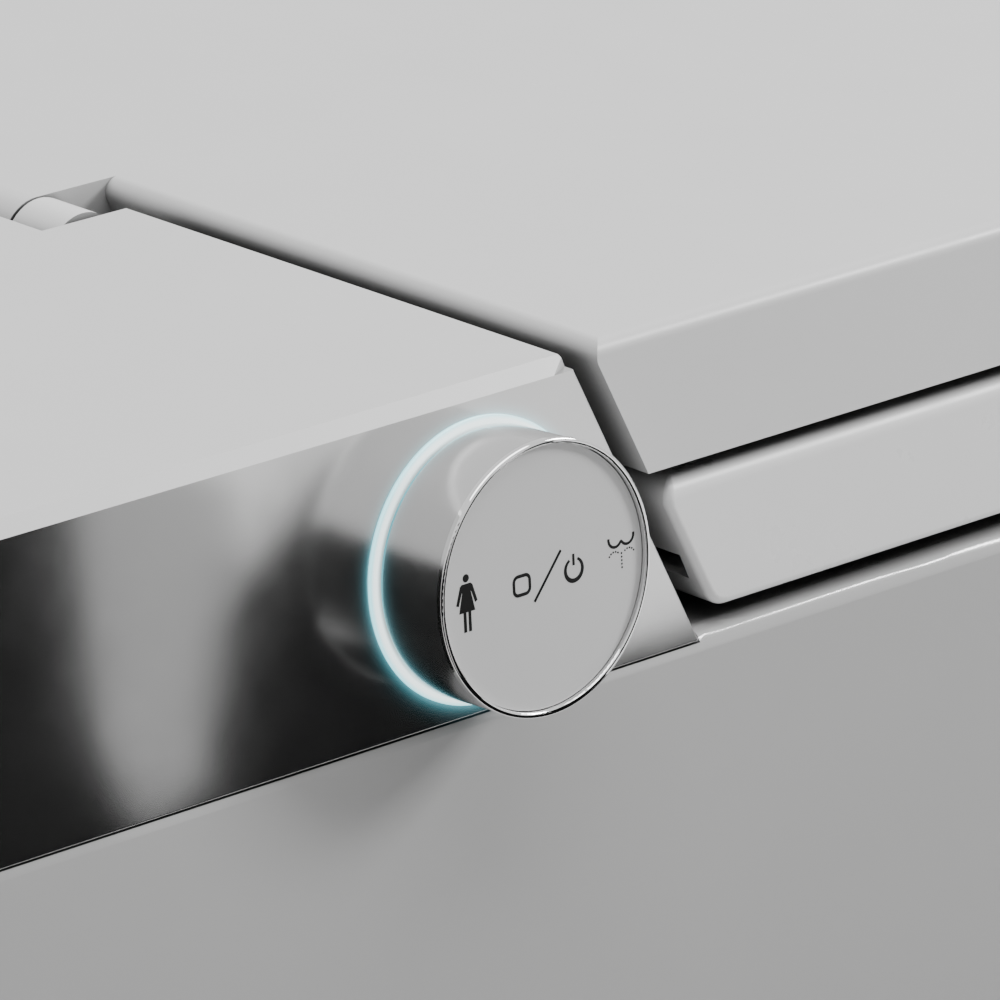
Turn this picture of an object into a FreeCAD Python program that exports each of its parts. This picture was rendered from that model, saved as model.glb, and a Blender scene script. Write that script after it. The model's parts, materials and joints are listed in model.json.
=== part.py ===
"""Smart toilet with heated seat: ceramic bowl, rear housing, seat, lid and side control knob.

Millimetres. +Z is up, the user faces -Y, and X = 0 is the plane of symmetry of the bowl.
The origin is on the floor plane, at the centre of the waste outlet. The control knob is on
the -X side, which is at the right hand of a seated user.
"""
import FreeCAD, Part
import math
import os

os.makedirs("parts", exist_ok=True)

# ---- Driving dimensions ------------------------------------------------------------------
# Overall
HALF_WIDTH = 195.0          # side faces, measured at the height of the knob's axis
SIDE_DRAFT_DEG = 3.75       # the sides lean in by this much toward the top
FRONT_Y = -395.0            # nose of the bowl at the rim
REAR_Y = 285.0              # rear face, 20 clear of the wall with the outlet 305 from it
NOSE_RADIUS = 150.0         # plan radius of the nose
STRAIGHT_END_Y = -120.0     # the sides are straight in plan behind this line
REAR_CORNER_RADIUS = 18.0

# Heights
RIM_TOP = 402.0             # ceramic rim
SEAT_GAP = 3.9              # rim to seat, filled by the seat's bumpers
SEAT_THICKNESS = 31.3
LID_GAP = 3.3               # seat to lid, filled by the lid's bumpers
LID_THICKNESS = 31.9
DECK_DROP = 2.7             # the rear deck lies this far under the rim
PANEL_FOOT_GAP = 0.5        # rear deck to the foot of the housing's panels
PANEL_HEIGHT = 68.4
COVER_THICKNESS = 3.4

# Rear housing
HOUSING_FRONT_Y = 70.6      # top front edge of the side panels
RAKE_DEG = 26.0             # the front edge of the side panels, from vertical
PANEL_WALL = 3.0
FIT_GAP = 0.3               # between moulded pieces that sit side by side
COVER_BEVEL = 2.4           # the sloping edge band of the top cover, in plan
CORNER_CUT_Y = 7.8          # facet across the cover's front corners, along the side
CORNER_CUT_X = 3.5          # the same facet, along the front
PANEL_EDGE_RADIUS = 0.5     # rounding of the side panels' outer edges
APRON_SETBACK = 2.0         # the front apron stands behind the panels' front edges
APRON_WALL = 2.5
CHASSIS_WALL = 3.0            # floor of the base tray

# Lid and seat
LID_REAR_GAP = 6.8          # side panel's front edge to the lid's raked end, along Y
SEAT_REAR_GAP = 8.0         # the same, to the seat's end
LID_EDGE_RADIUS = 3.4
SEAT_EDGE_RADIUS = 4.5
LID_WALL = 3.2
SEAT_WALL = 3.5
SEAT_PLATE = 4.0            # closing plate under the seat shell
LID_PANEL = 3.0             # closing panel under the lid shell
SEAT_OPENING_HALF_WIDTH = 106.0
SEAT_OPENING_FRONT_Y = -312.0
SEAT_OPENING_REAR_Y = -30.0
SEAT_OPENING_FLARE = 16.0   # how much wider the opening is at the top of the seat
HEATER_FOIL = 0.8
BUMPER_RADIUS = 9.0

# Hinge
PIVOT_BEHIND_EDGE = 13.4    # pivot behind the side panels' top front edge
PIVOT_BELOW_LID_TOP = 10.0
BARREL_RADIUS = 10.0
BARREL_HALF_LENGTH = 32.0
EYE_GAP = 1.0
EYE_WIDTH = 15.0
PIN_RADIUS = 4.0
RUNNING_CLEARANCE = 0.05
DAMPER_RADIUS = 7.0
POCKET_CLEARANCE = 2.0
POCKET_WALL = 2.0
ARM_HALF_THICKNESS = 5.5
BRACKET_THICKNESS = 4.0

# Ceramic bowl
CERAMIC_WALL = 11.0
RIM_EDGE_RADIUS = 5.0
BOWL_OPENING_HALF_WIDTH = 126.0
BOWL_OPENING_FRONT_Y = -328.0
BOWL_OPENING_REAR_Y = 18.0
SUMP_Y = -85.0
SUMP_FLOOR_Z = 92.0
SUMP_HALF_WIDTH = 30.0
SUMP_HALF_LENGTH = 34.0
OVAL_SPLIT = 0.56           # widest place of the bowl and seat openings, from front to rear
TRAP_BORE_RADIUS = 25.0
TRAP_WALL = 8.0
TRAP_BEND_RADIUS = 48.0
OUTLET_DEPTH = 12.0         # the outlet spigot's socket in the base
OUTLET_SOCKET_RADIUS = 40.0
OUTLET_BOSS = 30.0
WELL_HALF_WIDTH = 150.0
WELL_FRONT_Y = 96.0
WELL_REAR_Y = 262.0
WELL_FLOOR_Z = 262.0
NOSE_BAY_HALF_WIDTH = 92.0
NOSE_BAY_FRONT_Y = 14.0
NOSE_BAY_FLOOR_Z = 360.0
NOSE_BAY_REAR_Y = 94.0
BAY_CLEARANCE = 2.0
WELL_CORNER_RADIUS = 8.0
BAY_LEAD = 36.0             # the bay reaches this far into the bowl, for the flap and the wand
DECK_STEP_LEAD = 0.5        # the rim steps down to the deck this far in front of the housing
JET_X = -77.0
JET_Z = 284.0
JET_RADIUS = 9.0
JET_WALL = 7.0
FIXING_SPACING = 216.0
FIXING_Y = -40.0
FIXING_HOLE_RADIUS = 6.0
FIXING_PAD = 40.0
FIXING_PAD_HEIGHT = 22.0
ACCESS_HOLE_RADIUS = 14.0
ACCESS_HOLE_Z = 48.0

# Control knob, measured out from the side panel along the knob's axis
KNOB_SETBACK = 29.4         # knob axis behind the panel's top front edge
KNOB_ABOVE_PANEL_FOOT = 33.4
KNOB_RADIUS = 30.0
KNOB_REACH = 21.0           # front of the bezel
KNOB_PRESS = 1.5
KNOB_BASE_GAP = 2.4         # panel to the skirt
BEZEL_WIDTH = 1.35
BEZEL_DEPTH = 1.5
FACE_RECESS = 1.4
FACE_THICKNESS = 1.6
SKIRT_WALL = 2.0
SHAFT_RADIUS = 3.0
BUSHING_RADIUS = 5.0
RING_RADIUS = 29.8          # middle of the light ring
RING_WIDTH = 2.8
RING_PROUD = 0.5
RING_DEPTH = 1.2

# Spray wand
WAND_SLOPE_DEG = 25.0
WAND_RADIUS = 9.0
WAND_TIP_Y = 17.0
WAND_TIP_Z = 379.0
WAND_LENGTH = 156.0
WAND_STROKE = 90.0
GUIDE_WALL = 2.5
PINION_TEETH = 16
GEAR_MODULE = 1.0
PINION_FROM_TIP = 60.0
RACK_WIDTH = 4.0

# Warm-air dryer
DUCT_X = 38.0
DUCT_BORE_RADIUS = 11.0
DUCT_WALL = 1.6
VOLUTE_RADIUS = 41.0
VOLUTE_Y = 180.0
VOLUTE_HEIGHT = 32.0

# Fasteners
SCREW_RADIUS = 1.7
SCREW_HEAD_RADIUS = 3.4

# Ceramic bowl
SKIRT_SECTIONS = (
    (0.0, 138.0, -282.0, 96.0),
    (70.0, 147.0, -292.0, 104.0),
    (190.0, 178.0, -337.0, 130.0),
    (300.0, 198.0, -380.0, 149.0),
    (355.0, 199.6, -391.0, 151.0),
)
BOWL_SECTIONS = (           # depth under the rim, narrowing of the sides, front and rear
    (0.0, 0.0, 0.0, 0.0),
    (60.0, 4.0, 14.0, 8.0),
    (150.0, 28.0, 78.0, 34.0),
    (225.0, 58.0, 150.0, 62.0),
    (290.0, 86.0, 196.0, 78.0),
)
TRAP_POINTS = (             # (y, z) of the trapway's corners, from the sump to the outlet
    (SUMP_Y - 5.0, 116.0),
    (-8.0, 106.0),
    (62.0, 208.0),
    (142.0, 208.0),
    (142.0, 60.0),
    (0.0, 50.0),
    (0.0, -1.0),
)

# Rear housing
INLET_X = -120.0
INLET_Z = 430.0
INLET_BODY_RADIUS = 8.5
GLAND_X = 130.0
GLAND_RADIUS = 8.0
VENT_SLOTS = 9
VENT_SLOT_WIDTH = 3.0
VENT_LOW_Z = 420.0
VENT_HIGH_Z = 445.0
BACK_SCREWS = ((-165.0, 410.0), (-60.0, 410.0), (60.0, 410.0), (165.0, 410.0))
LED_COUNT = 12
LED_RADIUS = 0.8
POCKET_REAR_GAP = 3.5
POCKET_SILL_Y = 50.0
POCKET_SILL_Z = 415.0
LIP_HEIGHT = 4.0
LIP_WALL = 1.6
BAY_CORNER_RADIUS = 8.0
BAY_WALL = 2.5
FLAP_HALF_WIDTH = 15.0
FLAP_EAR_GAP = 0.3
FLAP_EAR = 2.5
FLAP_PIVOT_Y = 10.6
FLAP_PIVOT_Z = 396.0
FLAP_PIN_RADIUS = 1.2
FLAP_HEIGHT = 30.0
FLAP_THICKNESS = 1.8
POST_RADIUS = 3.0
BOARD_Z = 409.0
BOARD_POSTS = ((16.0, 234.0), (99.0, 234.0), (16.0, 268.0), (99.0, 268.0))
FILL_TUBE_RADIUS = 5.0
FILL_X = -20.0
FILL_Y = 215.0
DUCT_BEND_RADIUS = 40.0
DUCT_TOP_Z = 425.0
DUCT_BEND_Y = 112.0

# Hinge
BUSHING_LENGTH = 8.0

# Lid
LID_BUMPERS = ((152.0, -90.0), (62.0, -346.0))
SEAT_BUMPERS = ((163.0, -110.0), (46.0, -362.0))

# Seat
SEAT_CORNER_RADIUS = 1.8    # upright rear corners and the lower edge
SEAT_HEEL_RADIUS = 6.0      # lower rear edge
SEAT_SLOT_FROM_SIDE = 4.5   # openings in the rear wall of the seat, beside its corners
SEAT_SLOT_WIDTH = 14.0
SEAT_SLOT_LOW = 6.5         # above the seat's lower face
SEAT_SLOT_HEIGHT = 6.0
ARM_ROOT = (22.0, 417.5)
ARM_KNEE = (52.0, 427.5)

# Control knob
BEZEL_STEP = 0.3
KNOB_HUB_START = 9.0
KNOB_HUB_RADIUS = 7.0
ENCODER_SIZE = 28.0
ENCODER_DEPTH = 16.0
PLUNGER_RADIUS = 5.0
PLUNGER_THICKNESS = 2.0
SHAFT_TAIL = 11.0
SWITCH_DEPTH = 5.0
SWITCH_SIZE = 14.0
LIGHT_BOARD_HALF_WIDTH = 3.0
BOARD_THICKNESS = 1.6

# Spray wand
TIP_LENGTH = 14.0
TOOTH_FULLNESS = 0.86       # tooth thickness as a share of half the pitch, the rest is backlash
PRESSURE_ANGLE = math.radians(20.0)
ADDENDUM = 0.8
DEDENDUM = 1.2
RACK_LEAD = 4.0
MOTOR_RADIUS = 9.0
MOTOR_LENGTH = 22.0
PLATE_DROP = 3.2
PINION_SHAFT_RADIUS = 1.5
GUIDE_POST_Y = 125.0

# Warm-air dryer
FAN_SHAFT_RADIUS = 2.0
FAN_BLADES = 20
FAN_RADIUS = 35.0
FLAP_KNUCKLE_RADIUS = 2.2

# Water, flush and electrical pieces
INLET_THREAD_RADIUS = 10.5
INLET_THREAD_LENGTH = 13.0
INLET_BORE_RADIUS = 6.0
VALVE_REAR_Y = 268.0
HOSE_X = -52.0
HOSE_Z = 428.0
SELECTOR_RADIUS = 14.0
SELECTOR_Y = 160.0
TANK_LOW_X, TANK_HIGH_X = -44.0, 144.0
TANK_FRONT_Y, TANK_REAR_Y = 102.0, 256.0
TANK_TOP_Z = 388.0
TANK_WALL = 2.5
FLOAT_X, FLOAT_Y = 105.0, 215.0
PUMP_X, PUMP_Y = -98.0, 185.0
PUMP_RADIUS = 34.0
PUMP_SCROLL = 42.0

# ---- Derived places ----------------------------------------------------------------------
SEAT_BOTTOM = RIM_TOP + SEAT_GAP
SEAT_TOP = SEAT_BOTTOM + SEAT_THICKNESS
LID_BOTTOM = SEAT_TOP + LID_GAP
LID_TOP = LID_BOTTOM + LID_THICKNESS
DECK_Z = RIM_TOP - DECK_DROP
PANEL_FOOT = DECK_Z + PANEL_FOOT_GAP
PANEL_TOP = PANEL_FOOT + PANEL_HEIGHT
COVER_TOP = PANEL_TOP + COVER_THICKNESS
KNOB_Y = HOUSING_FRONT_Y + KNOB_SETBACK
KNOB_Z = PANEL_FOOT + KNOB_ABOVE_PANEL_FOOT
DRAFT = math.tan(math.radians(SIDE_DRAFT_DEG))
RAKE = math.tan(math.radians(RAKE_DEG))
PIVOT_Y = HOUSING_FRONT_Y + PIVOT_BEHIND_EDGE
PIVOT_Z = LID_TOP - PIVOT_BELOW_LID_TOP
EYE_INNER_X = BARREL_HALF_LENGTH + EYE_GAP
EYE_OUTER_X = EYE_INNER_X + EYE_WIDTH
POCKET_HALF_WIDTH = EYE_OUTER_X + POCKET_CLEARANCE
CHASSIS_FLOOR = PANEL_FOOT
CHASSIS_TOP = CHASSIS_FLOOR + CHASSIS_WALL

# Spray wand
RACK_PITCH_X = -(WAND_RADIUS + 3.6)
PINION_RADIUS = GEAR_MODULE * PINION_TEETH / 2
PINION_X = RACK_PITCH_X - PINION_RADIUS

# Water, flush and electrical pieces
PUMP_Z = JET_Z
FLOAT_REST_Z = WELL_FLOOR_Z + TANK_WALL + 3.0 + FIT_GAP


# ---- Shapes used by several pieces -------------------------------------------------------
def vec(x, y, z):
    return FreeCAD.Vector(x, y, z)


def box(x_low, x_high, y_low, y_high, z_low, z_high):
    return Part.makeBox(x_high - x_low, y_high - y_low, z_high - z_low, vec(x_low, y_low, z_low))


def rod(radius, start, direction, length):
    return Part.makeCylinder(radius, length, start, direction)


def sleeve(outer, inner, start, direction, length):
    return rod(outer, start, direction, length).cut(rod(inner, start, direction, length))


def polygon(points):
    return Part.makePolygon(points + points[:1])


def prism_x(outline_yz, x_low, x_high):
    """Solid of a (y, z) outline, from x_low to x_high."""
    face = Part.Face(polygon([vec(x_low, y, z) for y, z in outline_yz]))
    return face.extrude(vec(x_high - x_low, 0, 0))


def rounded_box(x_low, x_high, y_low, y_high, z_low, z_high, radius):
    """Box with its four upright edges rounded."""
    solid = box(x_low, x_high, y_low, y_high, z_low, z_high)
    upright = [edge for edge in solid.Edges if abs(edge.tangentAt(edge.FirstParameter).z) > 0.99]
    return solid.makeFillet(radius, upright)


def mirror_x(shape):
    return shape.mirror(vec(0, 0, 0), vec(1, 0, 0))


def both_sides(shape):
    return Part.makeCompound([shape, mirror_x(shape)])


def side_x(z):
    """Half width of the lid, seat and housing at height z."""
    return HALF_WIDTH - (z - KNOB_Z) * DRAFT


def panel_front_y(z):
    """Front edge of the side panels at height z."""
    return HOUSING_FRONT_Y - (PANEL_TOP - z) * RAKE


def plan_wire(half_width, front_y, nose_radius, rear_y, corner_radius, z):
    """D-shaped outline: straight sides, shoulder arcs and a nose arc, tangent to each other."""
    nose_y = front_y + nose_radius
    run = STRAIGHT_END_Y - nose_y
    shoulder_radius = (half_width ** 2 + run ** 2 - nose_radius ** 2) / (2 * (half_width - nose_radius))
    shoulder_x = half_width - shoulder_radius
    reach = math.hypot(shoulder_x, run)
    out_x, out_y = -shoulder_x / reach, -run / reach
    join = vec(nose_radius * out_x, nose_y + nose_radius * out_y, z)
    half_turn = math.atan2(-out_y, out_x) / 2
    middle = vec(shoulder_x + shoulder_radius * math.cos(half_turn),
                 STRAIGHT_END_Y - shoulder_radius * math.sin(half_turn), z)
    side_front = vec(half_width, STRAIGHT_END_Y, z)
    side_rear = vec(half_width, rear_y - corner_radius, z)
    rear_side = vec(half_width - corner_radius, rear_y, z)
    slant = corner_radius * (1 - math.sqrt(0.5))
    corner = vec(half_width - slant, rear_y - slant, z)

    def flip(point):
        return vec(-point.x, point.y, point.z)

    edges = [
        Part.LineSegment(side_rear, side_front).toShape(),
        Part.Arc(side_front, middle, join).toShape(),
        Part.Arc(join, vec(0, front_y, z), flip(join)).toShape(),
        Part.Arc(flip(join), flip(middle), flip(side_front)).toShape(),
        Part.LineSegment(flip(side_front), flip(side_rear)).toShape(),
        Part.Arc(flip(side_rear), flip(corner), flip(rear_side)).toShape(),
        Part.LineSegment(flip(rear_side), rear_side).toShape(),
        Part.Arc(rear_side, corner, side_rear).toShape(),
    ]
    return Part.Wire(edges)


def drafted_wire(z, inset, rear_y=REAR_Y):
    """Outline of the bowl's plan at height z, moved in by inset all round but at the rear."""
    inward = HALF_WIDTH - side_x(z) + inset
    return plan_wire(HALF_WIDTH - inward, FRONT_Y + inward, NOSE_RADIUS - inward, rear_y,
                     REAR_CORNER_RADIUS, z)


def drafted_slab(z_low, z_high, inset=0.0, rear_y=REAR_Y):
    return Part.makeLoft([drafted_wire(z_low, inset, rear_y), drafted_wire(z_high, inset, rear_y)],
                         True, True)


def oval_wire(half_width, front_y, rear_y, z):
    """Egg-shaped outline: half an ellipse to the front and half to the rear."""
    middle_y = front_y + (rear_y - front_y) * OVAL_SPLIT
    arcs = []
    for tip_y in (front_y, rear_y):
        length = abs(tip_y - middle_y)
        arcs.append(half_ellipse(half_width, length, middle_y, z, tip_y > middle_y))
    return Part.Wire(arcs)


def half_ellipse(half_width, length, middle_y, z, to_rear):
    """Half an ellipse about (0, middle_y), on the rear or the front side of it."""
    centre = vec(0, middle_y, z)
    if length >= half_width:
        curve = Part.Ellipse(vec(0, middle_y + length, z), vec(-half_width, middle_y, z), centre)
        start = -math.pi / 2
    else:
        curve = Part.Ellipse(vec(half_width, middle_y, z), vec(0, middle_y + length, z), centre)
        start = 0.0
    if not to_rear:
        start += math.pi
    return curve.toShape(start, start + math.pi)


def rounded_path(points, radius):
    """Wire of straight runs joined by tangent arcs of one radius."""
    edges = []
    start = points[0]
    for before, corner, after in zip(points, points[1:], points[2:]):
        into = (corner - before).normalize()
        away = (after - corner).normalize()
        turn = into.getAngle(away)
        setback = radius * math.tan(turn / 2)
        arc_start = corner - into * setback
        arc_end = corner + away * setback
        towards = (away - into).normalize()
        arc_middle = corner + towards * (radius / math.cos(turn / 2) - radius)
        edges.append(Part.LineSegment(start, arc_start).toShape())
        edges.append(Part.Arc(arc_start, arc_middle, arc_end).toShape())
        start = arc_end
    edges.append(Part.LineSegment(start, points[-1]).toShape())
    return Part.Wire(edges)


def pipe(points, bend_radius, radius):
    """Solid round bar along a rounded path."""
    first = (points[1] - points[0]).normalize()
    ring = Part.Wire([Part.makeCircle(radius, points[0], first)])
    return rounded_path(points, bend_radius).makePipeShell([ring], True, False)


def pipe_wall(points, bend_radius, outer, inner):
    return pipe(points, bend_radius, outer).cut(pipe(points, bend_radius, inner))


def behind_rake(gap, x_reach=400.0, y_reach=700.0):
    """Space behind a plane raked like the side panels' front edge, gap in front of it."""
    low, high = PANEL_FOOT - 60.0, COVER_TOP + 60.0
    outline = [(panel_front_y(low) - gap, low), (panel_front_y(high) - gap, high),
               (y_reach, high), (y_reach, low)]
    return prism_x(outline, -x_reach, x_reach)


# ---- Ceramic bowl ------------------------------------------------------------------------
# Sections of the skirt below the rim: height, half width, nose, plan radius of the nose.


def skirt_solid(inset, z_top):
    wires = []
    for z, half_width, front_y, nose_radius in SKIRT_SECTIONS:
        wires.append(plan_wire(half_width - inset, front_y + inset, nose_radius - inset,
                               REAR_Y - inset, REAR_CORNER_RADIUS, z))
    wires.append(drafted_wire(z_top, inset, REAR_Y - inset))
    return Part.makeLoft(wires, True, False)


def bowl_solid(growth, z_top):
    wires = []
    for depth, sides, front, rear in BOWL_SECTIONS:
        z = RIM_TOP - depth if depth else z_top
        wires.append(oval_wire(BOWL_OPENING_HALF_WIDTH - sides + growth,
                               BOWL_OPENING_FRONT_Y + front - growth,
                               BOWL_OPENING_REAR_Y - rear + growth, z))
    wires.append(oval_wire(SUMP_HALF_WIDTH + growth, SUMP_Y - SUMP_HALF_LENGTH - growth,
                           SUMP_Y + SUMP_HALF_LENGTH + growth, SUMP_FLOOR_Z - growth))
    return Part.makeLoft(wires, True, False)


def trap_path():
    return [vec(0, y, z) for y, z in TRAP_POINTS]


def ceramic_openings():
    """Everything that is cut out of the casting: bowl, trapway, well, bay, deck step and holes."""
    cuts = [bowl_solid(0.0, RIM_TOP + 1.0), pipe(trap_path(), TRAP_BEND_RADIUS, TRAP_BORE_RADIUS)]
    cuts.append(rounded_box(-WELL_HALF_WIDTH, WELL_HALF_WIDTH, WELL_FRONT_Y, WELL_REAR_Y,
                            WELL_FLOOR_Z, RIM_TOP + 1.0, WELL_CORNER_RADIUS))
    cuts.append(box(-NOSE_BAY_HALF_WIDTH - BAY_CLEARANCE, NOSE_BAY_HALF_WIDTH + BAY_CLEARANCE,
                    NOSE_BAY_FRONT_Y - BAY_LEAD, WELL_FRONT_Y + 1.0,
                    NOSE_BAY_FLOOR_Z - BAY_CLEARANCE, RIM_TOP + 1.0))
    deck_front = panel_front_y(PANEL_FOOT) - DECK_STEP_LEAD
    cuts.append(box(-HALF_WIDTH * 2, HALF_WIDTH * 2, deck_front, REAR_Y + 1.0, DECK_Z, RIM_TOP + 1.0))
    cuts.append(rod(OUTLET_SOCKET_RADIUS, vec(0, 0, -1), vec(0, 0, 1), 1.0 + OUTLET_DEPTH))
    cuts.append(rod(JET_RADIUS, vec(JET_X, SUMP_Y / 2, JET_Z), vec(0, 1, 0),
                    WELL_FRONT_Y + 1.0 - SUMP_Y / 2))
    for side in (-1, 1):
        x = side * FIXING_SPACING / 2
        cuts.append(rod(FIXING_HOLE_RADIUS, vec(x, FIXING_Y, -1), vec(0, 0, 1),
                        FIXING_PAD_HEIGHT + 2.0))
        cuts.append(rod(ACCESS_HOLE_RADIUS, vec(x, FIXING_Y, ACCESS_HOLE_Z), vec(side, 0, 0), 60.0))
    return cuts


def cast_wall(outer, inner):
    """Outer wall from the floor to the rim, with a pad at each floor fixing."""
    wall = outer.cut(inner)
    pads = []
    for side in (-1, 1):
        near, beyond = side * (FIXING_SPACING - FIXING_PAD) / 2, side * HALF_WIDTH
        pad = box(min(near, beyond), max(near, beyond), FIXING_Y - FIXING_PAD / 2,
                  FIXING_Y + FIXING_PAD / 2, 0, FIXING_PAD_HEIGHT)
        pads.append(pad.common(outer))
    return wall.fuse(pads)


def cast_well():
    """Blank of the flush well, the nozzle bay and the jet's duct."""
    well = rounded_box(-WELL_HALF_WIDTH - CERAMIC_WALL, WELL_HALF_WIDTH + CERAMIC_WALL,
                       WELL_FRONT_Y - CERAMIC_WALL, WELL_REAR_Y + CERAMIC_WALL,
                       WELL_FLOOR_Z - CERAMIC_WALL, RIM_TOP, REAR_CORNER_RADIUS)
    bay_half = NOSE_BAY_HALF_WIDTH + BAY_CLEARANCE + CERAMIC_WALL
    bay = box(-bay_half, bay_half, NOSE_BAY_FRONT_Y - BAY_LEAD, WELL_FRONT_Y,
              NOSE_BAY_FLOOR_Z - BAY_CLEARANCE - CERAMIC_WALL, RIM_TOP)
    jet = rod(JET_RADIUS + JET_WALL, vec(JET_X, SUMP_Y / 2, JET_Z), vec(0, 1, 0),
              WELL_FRONT_Y - SUMP_Y / 2)
    return well.fuse([bay, jet])


def cast_trapway():
    """Blank of the trapway's pipe with the outlet's boss at its end."""
    outlet = rod(OUTLET_SOCKET_RADIUS + TRAP_WALL, vec(0, 0, 0), vec(0, 0, 1), OUTLET_BOSS)
    return pipe(trap_path(), TRAP_BEND_RADIUS, TRAP_BORE_RADIUS + TRAP_WALL).fuse(outlet)


def parted(section, split_x, split_y):
    """The pieces of a cast section on either side of two upright planes."""
    far = 2 * (HALF_WIDTH - FRONT_Y)
    pieces = []
    for x_low, x_high in ((-far, split_x), (split_x, far)):
        for y_low, y_high in ((-far, split_y), (split_y, far)):
            quarter = section.common(box(x_low, x_high, y_low, y_high, -far, far))
            pieces.extend(quarter.Solids)
    return pieces


def parted_bowl(bowl):
    """The bowl's casting in rings between its sections, each ring in four quarters."""
    rings = []
    z_high = RIM_TOP
    for depth, sides, front, rear in BOWL_SECTIONS[1:]:
        z_low = RIM_TOP - depth
        middle_y = (BOWL_OPENING_FRONT_Y + front + BOWL_OPENING_REAR_Y - rear) / 2
        rings.append((z_low, z_high, middle_y))
        z_high = z_low
    rings.append((0.0, z_high, SUMP_Y))
    pieces = []
    for z_low, z_high, middle_y in rings:
        ring = bowl.common(box(-HALF_WIDTH, HALF_WIDTH, FRONT_Y, REAR_Y, z_low, z_high))
        pieces.extend(parted(ring, 0.0, middle_y))
    return pieces


def ceramic_bowl():
    """One casting in its cast sections, luted face to face: wall, rim, bowl, well and trapway."""
    outer = skirt_solid(0.0, RIM_TOP)
    rim_edges = [edge for edge in outer.Edges if edge.BoundBox.ZMin > RIM_TOP - 0.01]
    outer = outer.makeFillet(RIM_EDGE_RADIUS, rim_edges)
    inner = skirt_solid(CERAMIC_WALL, RIM_TOP)
    wall = cast_wall(outer, inner)
    rim = inner.common(box(-HALF_WIDTH * 2, HALF_WIDTH * 2, FRONT_Y, REAR_Y,
                           RIM_TOP - CERAMIC_WALL, RIM_TOP))
    bowl = bowl_solid(CERAMIC_WALL, RIM_TOP).common(inner).cut([wall, rim])
    well = cast_well().common(inner).cut([wall, rim, bowl])
    trapway = cast_trapway().common(outer).cut([wall, rim, bowl, well])
    cuts = ceramic_openings()
    wall, rim, bowl, well, trapway = [section.cut(cuts)
                                      for section in (wall, rim, bowl, well, trapway)]
    middle_y = (FRONT_Y + WELL_FRONT_Y) / 2
    pieces = parted(wall, 0.0, middle_y) + parted(rim, 0.0, middle_y) + parted_bowl(bowl)
    pieces.extend(parted(well, 0.0, (WELL_FRONT_Y + WELL_REAR_Y) / 2))
    return Part.makeCompound(pieces + trapway.Solids)


def fixing_caps():
    """Round caps that close the access holes of the floor fixings."""
    caps = []
    for side in (-1, 1):
        x = side * SKIRT_SECTIONS[1][1]
        plug = rod(ACCESS_HOLE_RADIUS - FIT_GAP, vec(x - side * 14.0, FIXING_Y, ACCESS_HOLE_Z),
                   vec(side, 0, 0), 30.0)
        caps.append(plug.common(skirt_solid(0.4, RIM_TOP)))
    return Part.makeCompound(caps)


# ---- Rear housing ------------------------------------------------------------------------
def housing_shell(z_low, z_high, outer_inset, inner_inset):
    """Upright wall that follows the housing's plan, in front of nothing and behind the rake."""
    outer = drafted_slab(z_low, z_high, outer_inset, REAR_Y - outer_inset)
    inner = drafted_slab(z_low, z_high, inner_inset, REAR_Y - inner_inset)
    return outer.cut(inner).common(behind_rake(0.0))


def side_panel():
    """Left-hand panel, for the -X side, without the knob's holes."""
    wall = housing_shell(PANEL_FOOT, PANEL_TOP, 0.0, PANEL_WALL)
    keep = box(-2 * HALF_WIDTH, 0, -HALF_WIDTH, REAR_Y - REAR_CORNER_RADIUS,
               PANEL_FOOT - 1, PANEL_TOP + 1)
    panel = wall.common(keep)
    return panel.makeFillet(PANEL_EDGE_RADIUS, outer_front_edges(panel))


def outer_front_edges(panel):
    """The outer edges of a side panel along its raked front and its foot."""
    chosen = []
    for edge in panel.Edges:
        start, end = edge.Vertexes[0].Point, edge.Vertexes[-1].Point
        on_face = all(abs(-point.x - side_x(point.z)) < 0.01 for point in (start, end))
        raked = abs(start.z - end.z) > PANEL_HEIGHT / 2 and max(start.y, end.y) < KNOB_Y
        along_foot = max(start.z, end.z) < PANEL_FOOT + 0.01 and abs(start.y - end.y) > KNOB_Y
        if on_face and (raked or along_foot):
            chosen.append(edge)
    return chosen


def side_panel_knob():
    light_groove = on_knob_axis(sleeve(RING_RADIUS + RING_WIDTH / 2, RING_RADIUS - RING_WIDTH / 2,
                                       vec(0, 0, -RING_DEPTH), vec(0, 0, 1), 3.0))
    bushing_hole = on_knob_axis(rod(BUSHING_RADIUS + RUNNING_CLEARANCE, vec(0, 0, -8), vec(0, 0, 1), 12.0))
    light_holes = [on_knob_axis(hole) for hole in ring_of_lights(LED_RADIUS + FIT_GAP / 2, 6.0)]
    return side_panel().cut([light_groove, bushing_hole] + light_holes)


def side_panel_plain():
    return mirror_x(side_panel())


def back_panel():
    wall = housing_shell(PANEL_FOOT, PANEL_TOP, 0.0, PANEL_WALL)
    keep = box(-2 * HALF_WIDTH, 2 * HALF_WIDTH, REAR_Y - REAR_CORNER_RADIUS, REAR_Y + 1,
               PANEL_FOOT - 1, PANEL_TOP + 1)
    holes = [rod(INLET_BODY_RADIUS + FIT_GAP, vec(INLET_X, REAR_Y - 10, INLET_Z), vec(0, 1, 0), 20.0),
             rod(GLAND_RADIUS + FIT_GAP, vec(GLAND_X, REAR_Y - 10, INLET_Z), vec(0, 1, 0), 20.0)]
    for x, z in BACK_SCREWS:
        holes.append(rod(SCREW_RADIUS + FIT_GAP, vec(x, REAR_Y - 10, z), vec(0, 1, 0), 20.0))
    slot_pitch = VENT_SLOT_WIDTH * 2
    for index in range(VENT_SLOTS):
        x = (index - (VENT_SLOTS - 1) / 2) * slot_pitch
        holes.append(box(x - VENT_SLOT_WIDTH / 2, x + VENT_SLOT_WIDTH / 2, REAR_Y - 10, REAR_Y + 1,
                         VENT_LOW_Z, VENT_HIGH_Z))
    return wall.common(keep).cut(holes)


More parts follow.
